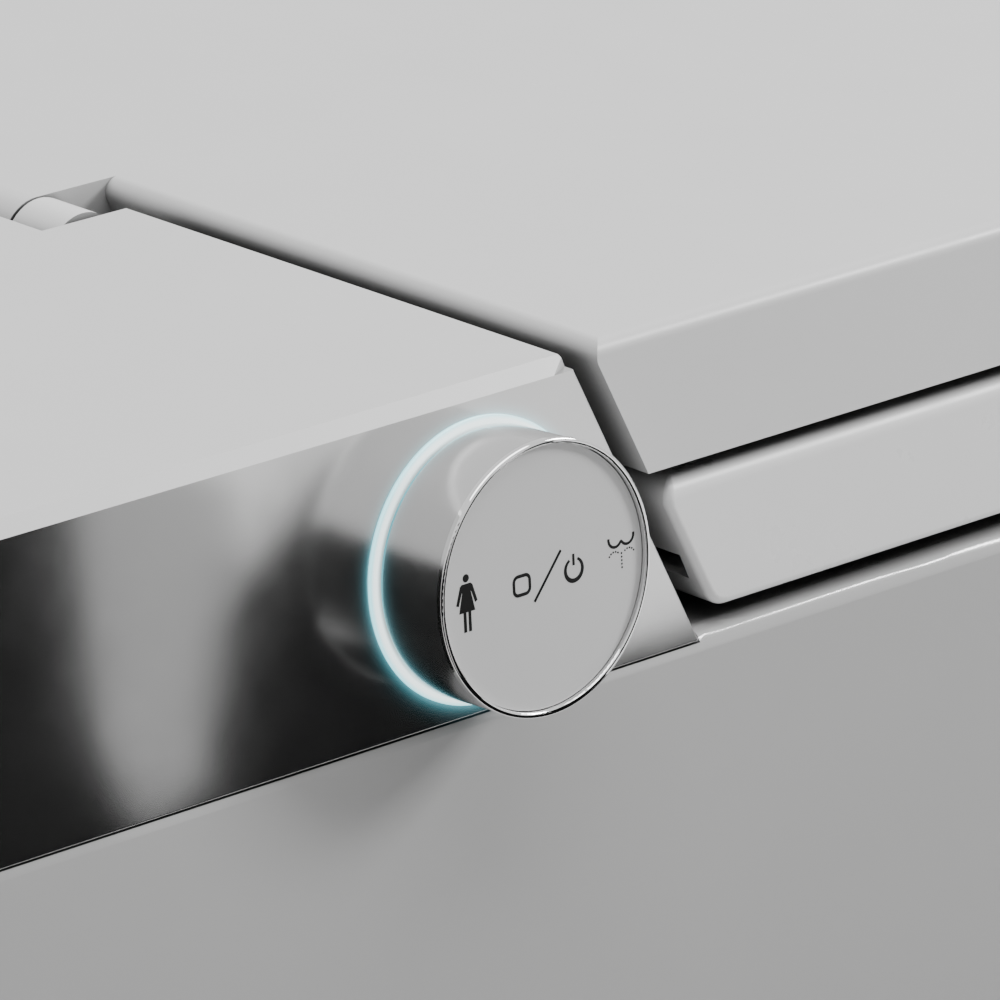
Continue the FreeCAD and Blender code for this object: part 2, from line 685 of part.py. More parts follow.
def pocket_outline(growth):
    """Outline in (y, z) of the open pocket that the hinge turns in."""
    front_y = HOUSING_FRONT_Y - 50.0
    rear_y = PIVOT_Y + BARREL_RADIUS + POCKET_REAR_GAP
    return [(front_y, POCKET_SILL_Z - growth), (POCKET_SILL_Y, POCKET_SILL_Z - growth),
            (rear_y + growth, PIVOT_Z - BARREL_RADIUS - growth), (rear_y + growth, COVER_TOP + 10),
            (front_y, COVER_TOP + 10)]


def housing_cover():
    """Flat top cover with a sloping edge band, a facet at each front corner and a locating lip."""
    top_wire = drafted_wire(COVER_TOP, COVER_BEVEL, REAR_Y - COVER_BEVEL)
    plate = Part.makeLoft([drafted_wire(PANEL_TOP, 0.0), top_wire], True, True)
    front_band = [(HOUSING_FRONT_Y, PANEL_TOP), (HOUSING_FRONT_Y + COVER_BEVEL, COVER_TOP),
                  (REAR_Y + 1, COVER_TOP), (REAR_Y + 1, PANEL_TOP)]
    plate = plate.common(prism_x(front_band, -2 * HALF_WIDTH, 2 * HALF_WIDTH))
    lip = housing_shell(PANEL_TOP - LIP_HEIGHT, PANEL_TOP, PANEL_WALL + FIT_GAP,
                        PANEL_WALL + FIT_GAP + LIP_WALL)
    lip = lip.common(box(-2 * HALF_WIDTH, 2 * HALF_WIDTH, HOUSING_FRONT_Y + 10, REAR_Y,
                         PANEL_TOP - LIP_HEIGHT, PANEL_TOP))
    cover = plate.fuse(lip)
    cuts = []
    corner_x = side_x(PANEL_TOP)
    for side in (-1, 1):
        corner = [vec(side * (corner_x + 1), HOUSING_FRONT_Y - 1, PANEL_TOP - 1),
                  vec(side * (corner_x + 1), HOUSING_FRONT_Y + CORNER_CUT_Y, PANEL_TOP - 1),
                  vec(side * (corner_x - CORNER_CUT_X), HOUSING_FRONT_Y - 1, PANEL_TOP - 1)]
        cuts.append(Part.Face(polygon(corner)).extrude(vec(0, 0, COVER_THICKNESS + 2)))
    rear_y = PIVOT_Y + BARREL_RADIUS + POCKET_REAR_GAP
    cuts.append(box(-POCKET_HALF_WIDTH, POCKET_HALF_WIDTH, HOUSING_FRONT_Y - 1, rear_y,
                    PANEL_TOP - 1, COVER_TOP + 1))
    cuts.append(board_room())
    return cover.cut(cuts)


def front_apron():
    """Raked front wall with the open pocket for the hinge barrel and the seat's arms."""
    inset = PANEL_WALL + FIT_GAP
    block = drafted_slab(CHASSIS_TOP, PANEL_TOP, inset, REAR_Y - inset)
    space = block.common(behind_rake(-APRON_SETBACK))
    plate = space.cut(behind_rake(-APRON_SETBACK - APRON_WALL))
    inner = prism_x(pocket_outline(0.0), -POCKET_HALF_WIDTH, POCKET_HALF_WIDTH)
    outer = prism_x(pocket_outline(POCKET_WALL), -POCKET_HALF_WIDTH - POCKET_WALL,
                    POCKET_HALF_WIDTH + POCKET_WALL)
    walls = outer.common(space)
    pin_hole = rod(PIN_RADIUS + FIT_GAP, vec(-POCKET_HALF_WIDTH - 10, PIVOT_Y, PIVOT_Z),
                   vec(1, 0, 0), 2 * POCKET_HALF_WIDTH + 20)
    return plate.fuse(walls).cut([inner, pin_hole] + passages())


def passages():
    """Clearance for the wand's guide, its rack and the dryer's duct, where they cross the walls."""
    rack_half = RACK_WIDTH / 2 + 2 * FIT_GAP
    rack_slot = box(RACK_PITCH_X - ADDENDUM - 2 * FIT_GAP, 0, -rack_half, rack_half,
                    -2 * TIP_LENGTH, WAND_LENGTH)
    return [wand_rod(WAND_RADIUS + GUIDE_WALL + FIT_GAP, -2 * TIP_LENGTH, WAND_LENGTH),
            on_wand_axis(rack_slot),
            pipe(duct_path(-40.0), DUCT_BEND_RADIUS, DUCT_BORE_RADIUS + DUCT_WALL + FIT_GAP)]


def rear_chassis():
    """Base tray of the housing, with the bay for the wand and dryer hanging at its front."""
    inset = PANEL_WALL + FIT_GAP
    floor = drafted_slab(CHASSIS_FLOOR, CHASSIS_TOP, inset, REAR_Y - inset)
    floor = floor.common(behind_rake(-APRON_SETBACK))
    bay = rounded_box(-NOSE_BAY_HALF_WIDTH, NOSE_BAY_HALF_WIDTH, NOSE_BAY_FRONT_Y, NOSE_BAY_REAR_Y,
                      NOSE_BAY_FLOOR_Z, CHASSIS_TOP, BAY_CORNER_RADIUS)
    hollow = rounded_box(-NOSE_BAY_HALF_WIDTH + BAY_WALL, NOSE_BAY_HALF_WIDTH - BAY_WALL,
                         NOSE_BAY_FRONT_Y + BAY_WALL, NOSE_BAY_REAR_Y - BAY_WALL,
                         NOSE_BAY_FLOOR_Z + BAY_WALL, CHASSIS_TOP - CHASSIS_WALL,
                         BAY_CORNER_RADIUS - BAY_WALL)
    hatch = box(-NOSE_BAY_HALF_WIDTH + BAY_WALL, NOSE_BAY_HALF_WIDTH - BAY_WALL,
                panel_front_y(CHASSIS_TOP) + APRON_SETBACK + 2 * APRON_WALL,
                NOSE_BAY_REAR_Y - BAY_WALL, NOSE_BAY_FLOOR_Z + BAY_WALL, CHASSIS_TOP + 1)
    ears = []
    for side in (-1, 1):
        x = DUCT_X + side * (FLAP_HALF_WIDTH + FLAP_EAR_GAP + FLAP_EAR / 2)
        ear = box(x - FLAP_EAR / 2, x + FLAP_EAR / 2, FLAP_PIVOT_Y - 3.0, NOSE_BAY_FRONT_Y + 1,
                  FLAP_PIVOT_Z - 3.0, FLAP_PIVOT_Z + 3.0)
        ears.append(ear)
    posts = [rod(POST_RADIUS, vec(x, y, CHASSIS_TOP - 1), vec(0, 0, 1), BOARD_Z - CHASSIS_TOP + 1)
             for x, y in BOARD_POSTS]
    rear_wall = [box(x - 6, x + 6, REAR_Y - inset - 6, REAR_Y - inset, CHASSIS_TOP - 1, z + 6)
                 for x, z in BACK_SCREWS]
    tray = floor.fuse([bay] + ears + posts + rear_wall)
    pin_hole = rod(FLAP_PIN_RADIUS + RUNNING_CLEARANCE,
                   vec(DUCT_X - FLAP_HALF_WIDTH - 10, FLAP_PIVOT_Y, FLAP_PIVOT_Z),
                   vec(1, 0, 0), 2 * FLAP_HALF_WIDTH + 20)
    cuts = [hollow, hatch, pin_hole, board_room()] + passages()
    for x, z in BACK_SCREWS:
        cuts.append(rod(SCREW_RADIUS, vec(x, REAR_Y - 30, z), vec(0, 1, 0), 40.0))
    cuts.append(rod(FILL_TUBE_RADIUS + FIT_GAP, vec(FILL_X, FILL_Y, CHASSIS_FLOOR - 1), vec(0, 0, 1), 6.0))
    return tray.cut(cuts)


def chassis_gaskets():
    """Two flat strips that seat the tray on the ceramic deck."""
    strips = []
    for side in (-1, 1):
        x_low, x_high = WELL_HALF_WIDTH + 6.0, WELL_HALF_WIDTH + 26.0
        strip = box(x_low, x_high, WELL_FRONT_Y, WELL_REAR_Y, DECK_Z, CHASSIS_FLOOR)
        strips.append(strip if side > 0 else mirror_x(strip))
    return Part.makeCompound(strips)


def back_screws():
    screws = []
    for x, z in BACK_SCREWS:
        shank = rod(SCREW_RADIUS, vec(x, REAR_Y - 8.0, z), vec(0, 1, 0), 8.0)
        head = rod(SCREW_HEAD_RADIUS, vec(x, REAR_Y, z), vec(0, 1, 0), 1.8)
        screws.append(shank.fuse(head).removeSplitter())
    return Part.makeCompound(screws)


# ---- Hinge -------------------------------------------------------------------------------
def hinge_rod(radius, x_low, x_high):
    return rod(radius, vec(x_low, PIVOT_Y, PIVOT_Z), vec(1, 0, 0), x_high - x_low)


def bracket_inner_x():
    return POCKET_HALF_WIDTH + POCKET_WALL + FIT_GAP


def hinge_brackets():
    inner = bracket_inner_x()
    outer = inner + BRACKET_THICKNESS
    outline = [(PIVOT_Y - 14, CHASSIS_TOP), (PIVOT_Y + 22, CHASSIS_TOP), (PIVOT_Y + 22, CHASSIS_TOP + 10),
               (PIVOT_Y + 5.5, PIVOT_Z + 5), (PIVOT_Y - 5, PIVOT_Z + 5), (PIVOT_Y - 14, PIVOT_Z - 14)]
    plate = prism_x(outline, inner, outer)
    foot = box(inner, outer + 16, PIVOT_Y + 2, PIVOT_Y + 22, CHASSIS_TOP, CHASSIS_TOP + 3)
    bracket = plate.fuse(foot).cut(hinge_rod(PIN_RADIUS, inner - 1, outer + 1))
    return both_sides(bracket)


def hinge_pin():
    inner = BARREL_HALF_LENGTH - BUSHING_LENGTH
    outer = bracket_inner_x() + BRACKET_THICKNESS
    head = hinge_rod(PIN_RADIUS + 1.2, outer, outer + 2.0)
    return hinge_rod(PIN_RADIUS, inner, outer + 2.0).fuse(head).removeSplitter()


def hinge_bushings():
    inner = BARREL_HALF_LENGTH - BUSHING_LENGTH
    ring = hinge_rod(DAMPER_RADIUS, inner, BARREL_HALF_LENGTH)
    return both_sides(ring.cut(hinge_rod(PIN_RADIUS + RUNNING_CLEARANCE, inner, BARREL_HALF_LENGTH)))


def damper():
    return hinge_rod(DAMPER_RADIUS, 2.0, BARREL_HALF_LENGTH - BUSHING_LENGTH - FIT_GAP)


# ---- Lid ---------------------------------------------------------------------------------
def lid_blank():
    slab = drafted_slab(LID_BOTTOM, LID_TOP)
    slab = slab.cut(behind_rake(LID_REAR_GAP))
    top_edges = [edge for edge in slab.Edges if edge.BoundBox.ZMin > LID_TOP - 0.01]
    return slab.makeFillet(LID_EDGE_RADIUS, top_edges)


def lid_tongue():
    lead_y = panel_front_y(LID_TOP) - LID_REAR_GAP - 2 * LID_EDGE_RADIUS
    outline = [(lead_y, LID_TOP), (PIVOT_Y, LID_TOP), (PIVOT_Y, PIVOT_Z - BARREL_RADIUS),
               (PIVOT_Y - BARREL_RADIUS, PIVOT_Z - BARREL_RADIUS), (lead_y, LID_TOP - LID_THICKNESS / 2)]
    tongue = prism_x(outline, -BARREL_HALF_LENGTH, BARREL_HALF_LENGTH)
    return tongue.fuse(hinge_rod(BARREL_RADIUS, -BARREL_HALF_LENGTH, BARREL_HALF_LENGTH))


def lid_shell():
    body = lid_blank().fuse(lid_tongue())
    cavity = drafted_slab(LID_BOTTOM - 1, LID_TOP - LID_WALL, LID_WALL)
    cavity = cavity.cut(behind_rake(LID_REAR_GAP + LID_WALL + 2 * LID_EDGE_RADIUS))
    bores = [hinge_rod(DAMPER_RADIUS, 2.0, BARREL_HALF_LENGTH + 1),
             hinge_rod(DAMPER_RADIUS, -BARREL_HALF_LENGTH - 1, -2.0)]
    return body.cut([cavity] + bores)


def lid_panel():
    inset = LID_WALL + FIT_GAP
    plate = drafted_slab(LID_BOTTOM, LID_BOTTOM + LID_PANEL, inset)
    return plate.cut(behind_rake(LID_REAR_GAP + inset + 2 * LID_EDGE_RADIUS))


def bumpers(places, z_low, z_high):
    pads = []
    for x, y in places:
        for side in (-1, 1):
            pads.append(rod(BUMPER_RADIUS, vec(side * x, y, z_low), vec(0, 0, 1), z_high - z_low))
    return Part.makeCompound(pads)


# ---- Seat --------------------------------------------------------------------------------
def seat_opening(growth):
    """Tapering hole of the seat, wider at the top."""
    wires = []
    for z, flare in ((SEAT_BOTTOM - 2, 0.0), (SEAT_BOTTOM + SEAT_THICKNESS * 0.5, 2.0),
                     (SEAT_TOP + 2, SEAT_OPENING_FLARE)):
        out = growth + flare
        wires.append(oval_wire(SEAT_OPENING_HALF_WIDTH + out, SEAT_OPENING_FRONT_Y - out,
                               SEAT_OPENING_REAR_Y + out, z))
    return Part.makeLoft(wires, True, False)


def seat_blank():
    slab = drafted_slab(SEAT_BOTTOM, SEAT_TOP)
    slab = slab.cut(behind_rake(SEAT_REAR_GAP))
    top_edges = [edge for edge in slab.Edges if edge.BoundBox.ZMin > SEAT_TOP - 0.01]
    slab = slab.makeFillet(SEAT_EDGE_RADIUS, top_edges)
    heel = [edge for edge in slab.Edges
            if edge.BoundBox.ZMax < SEAT_BOTTOM + 0.01 and edge.BoundBox.YMin > 0]
    slab = slab.makeFillet(SEAT_HEEL_RADIUS, heel)
    corners = [edge for edge in slab.Edges
               if edge.BoundBox.ZLength > SEAT_THICKNESS / 2 and edge.BoundBox.YMin > 0]
    return slab.makeFillet(SEAT_CORNER_RADIUS, corners)


def seat_slots():
    """Openings through the seat's rear wall, one beside each corner."""
    low = SEAT_BOTTOM + SEAT_SLOT_LOW
    rear_y = panel_front_y(low) - SEAT_REAR_GAP
    outer_x = side_x(low) - SEAT_SLOT_FROM_SIDE
    slot = box(outer_x - SEAT_SLOT_WIDTH, outer_x, rear_y - SEAT_HEEL_RADIUS - SEAT_WALL, rear_y + 5,
               low, low + SEAT_SLOT_HEIGHT)
    return [slot, mirror_x(slot)]


def arm_solid(growth):
    """One cranked hinge arm, for the +X side, from inside the seat up to its eye."""
    x_low, x_high = EYE_INNER_X - growth, EYE_OUTER_X + growth
    half = ARM_HALF_THICKNESS + growth
    pivot = (PIVOT_Y, PIVOT_Z)
    pieces = []
    for start, end in ((ARM_ROOT, ARM_KNEE), (ARM_KNEE, pivot)):
        along_y, along_z = end[0] - start[0], end[1] - start[1]
        length = math.hypot(along_y, along_z)
        side_y, side_z = -along_z / length * half, along_y / length * half
        outline = [(start[0] + side_y, start[1] + side_z), (end[0] + side_y, end[1] + side_z),
                   (end[0] - side_y, end[1] - side_z), (start[0] - side_y, start[1] - side_z)]
        pieces.append(prism_x(outline, x_low, x_high))
        pieces.append(rod(half, vec(x_low, start[0], start[1]), vec(1, 0, 0), x_high - x_low))
    pieces.append(rod(BARREL_RADIUS + growth, vec(x_low, *pivot), vec(1, 0, 0), x_high - x_low))
    return pieces[0].fuse(pieces[1:]).removeSplitter()


def seat_shell():
    cavity = drafted_slab(SEAT_BOTTOM - 1, SEAT_TOP - SEAT_WALL, SEAT_WALL)
    cavity = cavity.cut(behind_rake(SEAT_REAR_GAP + SEAT_WALL))
    cavity = cavity.cut(seat_opening(SEAT_WALL))
    arm = arm_solid(FIT_GAP)
    slots = [arm, mirror_x(arm)] + seat_slots()
    return seat_blank().cut([seat_opening(0.0), cavity] + slots)


def seat_base():
    inset = SEAT_WALL + FIT_GAP
    plate = drafted_slab(SEAT_BOTTOM, SEAT_BOTTOM + SEAT_PLATE, inset)
    plate = plate.cut([behind_rake(SEAT_REAR_GAP + inset), seat_opening(inset)])
    root_y, root_z = ARM_ROOT
    arm = arm_solid(0.0).fuse(box(EYE_INNER_X, EYE_OUTER_X, root_y - 20, root_y + 6,
                                  SEAT_BOTTOM + SEAT_PLATE - 1, root_z)).removeSplitter()
    bore = hinge_rod(PIN_RADIUS + RUNNING_CLEARANCE, EYE_INNER_X - 1, EYE_OUTER_X + 1)
    arm = arm.cut(bore)
    return plate.fuse([arm, mirror_x(arm)])


def seat_heater():
    inset = SEAT_WALL + 4.0
    z_high = SEAT_TOP - SEAT_WALL
    foil = drafted_slab(z_high - HEATER_FOIL, z_high, inset)
    return foil.cut([behind_rake(SEAT_REAR_GAP + SEAT_WALL + 12.0), seat_opening(inset)])


# ---- Control knob ------------------------------------------------------------------------
def on_knob_axis(shape):
    """Place a shape drawn about +Z, with z = 0 on the side panel, on the knob's axis."""
    lean = math.radians(SIDE_DRAFT_DEG)
    outward = vec(-math.cos(lean), 0, math.sin(lean))
    placed = shape.copy()
    seat = FreeCAD.Placement(vec(-side_x(KNOB_Z), KNOB_Y, KNOB_Z), FreeCAD.Rotation(vec(0, 0, 1), outward))
    placed.Placement = seat.multiply(placed.Placement)
    return placed


def turned(profile):
    """Solid of revolution about +Z of an (r, z) outline."""
    face = Part.Face(polygon([vec(r, 0, z) for r, z in profile]))
    return face.revolve(vec(0, 0, 0), vec(0, 0, 1), 360)


def ring_of_lights(radius, length):
    spots = []
    for index in range(LED_COUNT):
        angle = 2 * math.pi * index / LED_COUNT
        spot = vec(RING_RADIUS * math.cos(angle), RING_RADIUS * math.sin(angle), -PANEL_WALL - 1)
        spots.append(rod(radius, spot, vec(0, 0, 1), length))
    return spots


def knob_skirt():
    bezel_back = KNOB_REACH - BEZEL_DEPTH
    face_back = KNOB_REACH - FACE_RECESS - FACE_THICKNESS
    plate_back = face_back - SKIRT_WALL
    outer = KNOB_RADIUS - BEZEL_STEP
    bore = KNOB_RADIUS - BEZEL_WIDTH
    profile = [(SHAFT_RADIUS, KNOB_HUB_START), (KNOB_HUB_RADIUS, KNOB_HUB_START),
               (KNOB_HUB_RADIUS, plate_back), (outer - SKIRT_WALL, plate_back),
               (outer - SKIRT_WALL, KNOB_BASE_GAP), (outer, KNOB_BASE_GAP), (outer, bezel_back),
               (bore, bezel_back), (bore, face_back), (SHAFT_RADIUS, face_back)]
    return on_knob_axis(turned(profile))


def knob_bezel():
    inner = KNOB_RADIUS - BEZEL_WIDTH
    back = KNOB_REACH - BEZEL_DEPTH
    ring = turned([(inner, back), (KNOB_RADIUS, back), (KNOB_RADIUS, KNOB_REACH), (inner, KNOB_REACH)])
    front_edges = [edge for edge in ring.Edges if edge.BoundBox.ZMin > KNOB_REACH - 0.01]
    return on_knob_axis(ring.makeFillet(BEZEL_WIDTH * 0.4, front_edges))


def knob_face():
    back = KNOB_REACH - FACE_RECESS - FACE_THICKNESS
    disc = rod(KNOB_RADIUS - BEZEL_WIDTH - FIT_GAP / 2, vec(0, 0, back), vec(0, 0, 1), FACE_THICKNESS)
    return on_knob_axis(disc)


def knob_shaft():
    top = KNOB_REACH - FACE_RECESS - FACE_THICKNESS
    return on_knob_axis(rod(SHAFT_RADIUS, vec(0, 0, -SHAFT_TAIL), vec(0, 0, 1), SHAFT_TAIL + top))


def knob_plunger():
    disc = rod(PLUNGER_RADIUS, vec(0, 0, -SHAFT_TAIL - PLUNGER_THICKNESS), vec(0, 0, 1), PLUNGER_THICKNESS)
    stem = rod(1.5, vec(0, 0, -PANEL_WALL - ENCODER_DEPTH + KNOB_PRESS + FIT_GAP - 1.0), vec(0, 0, 1),
               ENCODER_DEPTH + PANEL_WALL - SHAFT_TAIL - PLUNGER_THICKNESS - KNOB_PRESS + 1.0)
    return on_knob_axis(disc.fuse(stem).removeSplitter())


def knob_bushing():
    """Threaded bush with a hexagonal nut, which clamps the encoder to the panel."""
    bush = sleeve(BUSHING_RADIUS, SHAFT_RADIUS + RUNNING_CLEARANCE, vec(0, 0, -PANEL_WALL), vec(0, 0, 1),
                  PANEL_WALL + 6.0)
    corners = [vec(8.0 * math.cos(i * math.pi / 3), 8.0 * math.sin(i * math.pi / 3), 0) for i in range(6)]
    nut = Part.Face(polygon(corners)).extrude(vec(0, 0, 2.4))
    nut = nut.cut(rod(BUSHING_RADIUS, vec(0, 0, -1), vec(0, 0, 1), 5.0))
    return on_knob_axis(bush.fuse(nut).removeSplitter())


def encoder_housing():
    half = ENCODER_SIZE / 2
    body = rounded_box(-half, half, -half, half, -PANEL_WALL - ENCODER_DEPTH, -PANEL_WALL, 3.0)
    shaft_hole = rod(SHAFT_RADIUS + RUNNING_CLEARANCE, vec(0, 0, -30), vec(0, 0, 1), 40.0)
    chamber = rod(PLUNGER_RADIUS + RUNNING_CLEARANCE, vec(0, 0, -PANEL_WALL - ENCODER_DEPTH), vec(0, 0, 1),
                  PANEL_WALL + ENCODER_DEPTH - SHAFT_TAIL + 0.5)
    return on_knob_axis(body.cut([shaft_hole, chamber]))


def press_switch():
    half = SWITCH_SIZE / 2
    back = -PANEL_WALL - ENCODER_DEPTH - SWITCH_DEPTH
    body = rounded_box(-half, half, -half, half, back, back + SWITCH_DEPTH, 1.5)
    well = rod(2.2, vec(0, 0, back + 1.0), vec(0, 0, 1), SWITCH_DEPTH)
    return on_knob_axis(body.cut(well))


def light_ring():
    ring = sleeve(RING_RADIUS + RING_WIDTH / 2, RING_RADIUS - RING_WIDTH / 2, vec(0, 0, -RING_DEPTH),
                  vec(0, 0, 1), RING_DEPTH + RING_PROUD)
    return on_knob_axis(ring)


def board_room():
    """Clearance round the light board, behind the side panel."""
    depth = BOARD_THICKNESS + FIT_GAP
    return on_knob_axis(rod(RING_RADIUS + LIGHT_BOARD_HALF_WIDTH + FIT_GAP, vec(0, 0, -PANEL_WALL - depth),
                            vec(0, 0, 1), depth))


def ring_light_board():
    board = sleeve(RING_RADIUS + LIGHT_BOARD_HALF_WIDTH, RING_RADIUS - LIGHT_BOARD_HALF_WIDTH,
                   vec(0, 0, -PANEL_WALL - BOARD_THICKNESS), vec(0, 0, 1), BOARD_THICKNESS)
    return on_knob_axis(board.fuse(ring_of_lights(LED_RADIUS, 2.4)).removeSplitter())


# ---- Spray wand --------------------------------------------------------------------------
def on_wand_axis(shape):
    """Place a shape drawn with +Z running back from the wand's tip and -Y as its upper side."""
    turn = FreeCAD.Rotation(vec(1, 0, 0), -(90.0 - WAND_SLOPE_DEG))
    placed = shape.copy()
    placed.Placement = FreeCAD.Placement(vec(0, WAND_TIP_Y, WAND_TIP_Z), turn).multiply(placed.Placement)
    return placed


def wand_rod(radius, start, length):
    return on_wand_axis(rod(radius, vec(0, 0, start), vec(0, 0, 1), length))


def rack_teeth():
    """Straight teeth along the wand's -X side, in step with the pinion at rest."""
    pitch = math.pi * GEAR_MODULE
    half = pitch / 4 * TOOTH_FULLNESS
    lean = math.tan(PRESSURE_ANGLE)
    tip_x, root_x = RACK_PITCH_X - ADDENDUM, RACK_PITCH_X + DEDENDUM
    first = -int(RACK_LEAD / pitch)
    last = int((WAND_LENGTH - PINION_FROM_TIP - RACK_LEAD) / pitch)
    teeth = []
    for index in range(first, last + 1):
        middle = PINION_FROM_TIP + index * pitch
        outline = [(tip_x, middle - half + ADDENDUM * lean), (tip_x, middle + half - ADDENDUM * lean),
                   (root_x, middle + half + DEDENDUM * lean), (root_x + 0.5, middle + half + DEDENDUM * lean),
                   (root_x + 0.5, middle - half - DEDENDUM * lean), (root_x, middle - half - DEDENDUM * lean)]
        face = Part.Face(polygon([vec(x, -RACK_WIDTH / 2, s) for x, s in outline]))
        teeth.append(face.extrude(vec(0, RACK_WIDTH, 0)))
    return teeth


def wand_tube():
    barrel = rod(WAND_RADIUS, vec(0, 0, TIP_LENGTH), vec(0, 0, 1), WAND_LENGTH - TIP_LENGTH)
    bar = box(RACK_PITCH_X + DEDENDUM, -WAND_RADIUS / 2, -RACK_WIDTH / 2, RACK_WIDTH / 2,
              PINION_FROM_TIP - 2 * RACK_LEAD, WAND_LENGTH)
    body = barrel.fuse([bar] + rack_teeth()).removeSplitter()
    bore = rod(WAND_RADIUS - 2.0, vec(0, 0, TIP_LENGTH - 1), vec(0, 0, 1), WAND_LENGTH)
    return on_wand_axis(body.cut(bore))


def wand_tip():
    """Replaceable nozzle: rounded nose with five spray holes in its upper side."""
    nose = rod(WAND_RADIUS, vec(0, 0, 0), vec(0, 0, 1), TIP_LENGTH)
    nose = nose.makeFillet(4.0, [edge for edge in nose.Edges if edge.BoundBox.ZMax < 0.01])
    spigot = rod(WAND_RADIUS - 2.0, vec(0, 0, TIP_LENGTH), vec(0, 0, 1), 5.0)
    holes = []
    for x, s in ((0.0, 7.0), (-2.2, 5.2), (2.2, 5.2), (-2.2, 8.8), (2.2, 8.8)):
        holes.append(rod(0.6, vec(x, -WAND_RADIUS - 1, s), vec(0, 1, 0), 5.0))
    return on_wand_axis(nose.fuse(spigot).removeSplitter().cut(holes))


def wand_guide():
    """Slotted sleeve that the wand slides in, with a rear post and the motor's mounting plate."""
    outer = WAND_RADIUS + GUIDE_WALL
    start = (NOSE_BAY_FRONT_Y + BAY_WALL - WAND_TIP_Y) / math.cos(math.radians(WAND_SLOPE_DEG))
    length = WAND_LENGTH - 18.0 - start
    bush = rod(outer, vec(0, 0, start), vec(0, 0, 1), length)
    plate = box(PINION_X - MOTOR_RADIUS, -WAND_RADIUS - GUIDE_WALL / 2, PLATE_DROP, PLATE_DROP + 2.0,
                PINION_FROM_TIP - MOTOR_RADIUS, PINION_FROM_TIP + MOTOR_RADIUS)
    bore = rod(WAND_RADIUS + RUNNING_CLEARANCE, vec(0, 0, start - 1), vec(0, 0, 1), length + 2)
    slot = box(RACK_PITCH_X - 4.0, 0, -RACK_WIDTH / 2 - FIT_GAP, RACK_WIDTH / 2 + FIT_GAP,
               start - 1, start + length + 1)
    shaft_hole = rod(PINION_SHAFT_RADIUS + FIT_GAP, vec(PINION_X, PLATE_DROP - 1, PINION_FROM_TIP),
                     vec(0, 1, 0), 5.0)
    body = on_wand_axis(bush.fuse(plate).cut([bore, slot, shaft_hole]))
    post_z = WAND_TIP_Z + (GUIDE_POST_Y - WAND_TIP_Y) * math.tan(math.radians(WAND_SLOPE_DEG))
    post = box(-6, 6, GUIDE_POST_Y - 4, GUIDE_POST_Y + 4, CHASSIS_TOP, post_z)
    post = post.cut(wand_rod(WAND_RADIUS + GUIDE_WALL / 2, -10.0, WAND_LENGTH + 40.0))
    return body.fuse(post)


def pinion():
    """Involute pinion on its motor's shaft, drawn in mesh with the rack."""
    base = PINION_RADIUS * math.cos(PRESSURE_ANGLE)
    root, tip = PINION_RADIUS - DEDENDUM, PINION_RADIUS + ADDENDUM
    half_tooth = math.pi / (2 * PINION_TEETH) * TOOTH_FULLNESS
    flank = []
    for step in range(5):
        radius = max(base, root) + (tip - max(base, root)) * step / 4
        angle = math.acos(min(1.0, base / radius))
        spread = half_tooth + math.tan(PRESSURE_ANGLE) - PRESSURE_ANGLE - (math.tan(angle) - angle)
        flank.append((radius, spread))
    points = []
    for index in range(PINION_TEETH):
        middle = (index + 0.5) * 2 * math.pi / PINION_TEETH
        one_tooth = [(root, -flank[0][1])] + [(radius, -spread) for radius, spread in flank]
        one_tooth += [(radius, spread) for radius, spread in reversed(flank)] + [(root, flank[0][1])]
        for radius, offset in one_tooth:
            points.append(vec(PINION_X + radius * math.cos(middle + offset), -RACK_WIDTH / 2,
                              PINION_FROM_TIP + radius * math.sin(middle + offset)))
    wheel = Part.Face(polygon(points)).extrude(vec(0, RACK_WIDTH, 0))
    shaft = rod(PINION_SHAFT_RADIUS, vec(PINION_X, -RACK_WIDTH / 2, PINION_FROM_TIP), vec(0, 1, 0),
                PLATE_DROP + 2.0 + RACK_WIDTH / 2 + 10.0)
    return on_wand_axis(wheel.fuse(shaft).removeSplitter())


def wand_motor():
    start = PLATE_DROP + 2.0
    can = rod(MOTOR_RADIUS, vec(PINION_X, start, PINION_FROM_TIP), vec(0, 1, 0), MOTOR_LENGTH)
    hole = rod(PINION_SHAFT_RADIUS + RUNNING_CLEARANCE, vec(PINION_X, start - 1, PINION_FROM_TIP),
               vec(0, 1, 0), 12.5)
    return on_wand_axis(can.cut(hole))


# ---- Warm-air dryer ----------------------------------------------------------------------
def duct_path(lead_y):
    slope = math.tan(math.radians(WAND_SLOPE_DEG))
    front_y = NOSE_BAY_FRONT_Y + BAY_WALL + lead_y
    front_z = DUCT_TOP_Z - (DUCT_BEND_Y - front_y) * slope
    return [vec(DUCT_X, front_y, front_z), vec(DUCT_X, DUCT_BEND_Y, DUCT_TOP_Z),
            vec(DUCT_X, VOLUTE_Y - VOLUTE_RADIUS, DUCT_TOP_Z)]


def dryer_duct():
    wall = pipe_wall(duct_path(-8.0), DUCT_BEND_RADIUS, DUCT_BORE_RADIUS + DUCT_WALL, DUCT_BORE_RADIUS)
    front = box(0, 2 * DUCT_X, -100, NOSE_BAY_FRONT_Y + 0.5, NOSE_BAY_FLOOR_Z - 40, COVER_TOP)
    return wall.cut(front)


def dryer_heater():
    disc = rod(DUCT_BORE_RADIUS - FIT_GAP, vec(DUCT_X, VOLUTE_Y - VOLUTE_RADIUS - 14, DUCT_TOP_Z),
               vec(0, 1, 0), 10.0)
    slots = []
    for index in range(-2, 3):
        z = DUCT_TOP_Z + index * 3.6
        half = math.sqrt((DUCT_BORE_RADIUS - 2.5) ** 2 - (index * 3.6) ** 2)
        slots.append(box(DUCT_X - half, DUCT_X + half, 0, VOLUTE_Y, z - 1.1, z + 1.1))
    return disc.cut(slots)


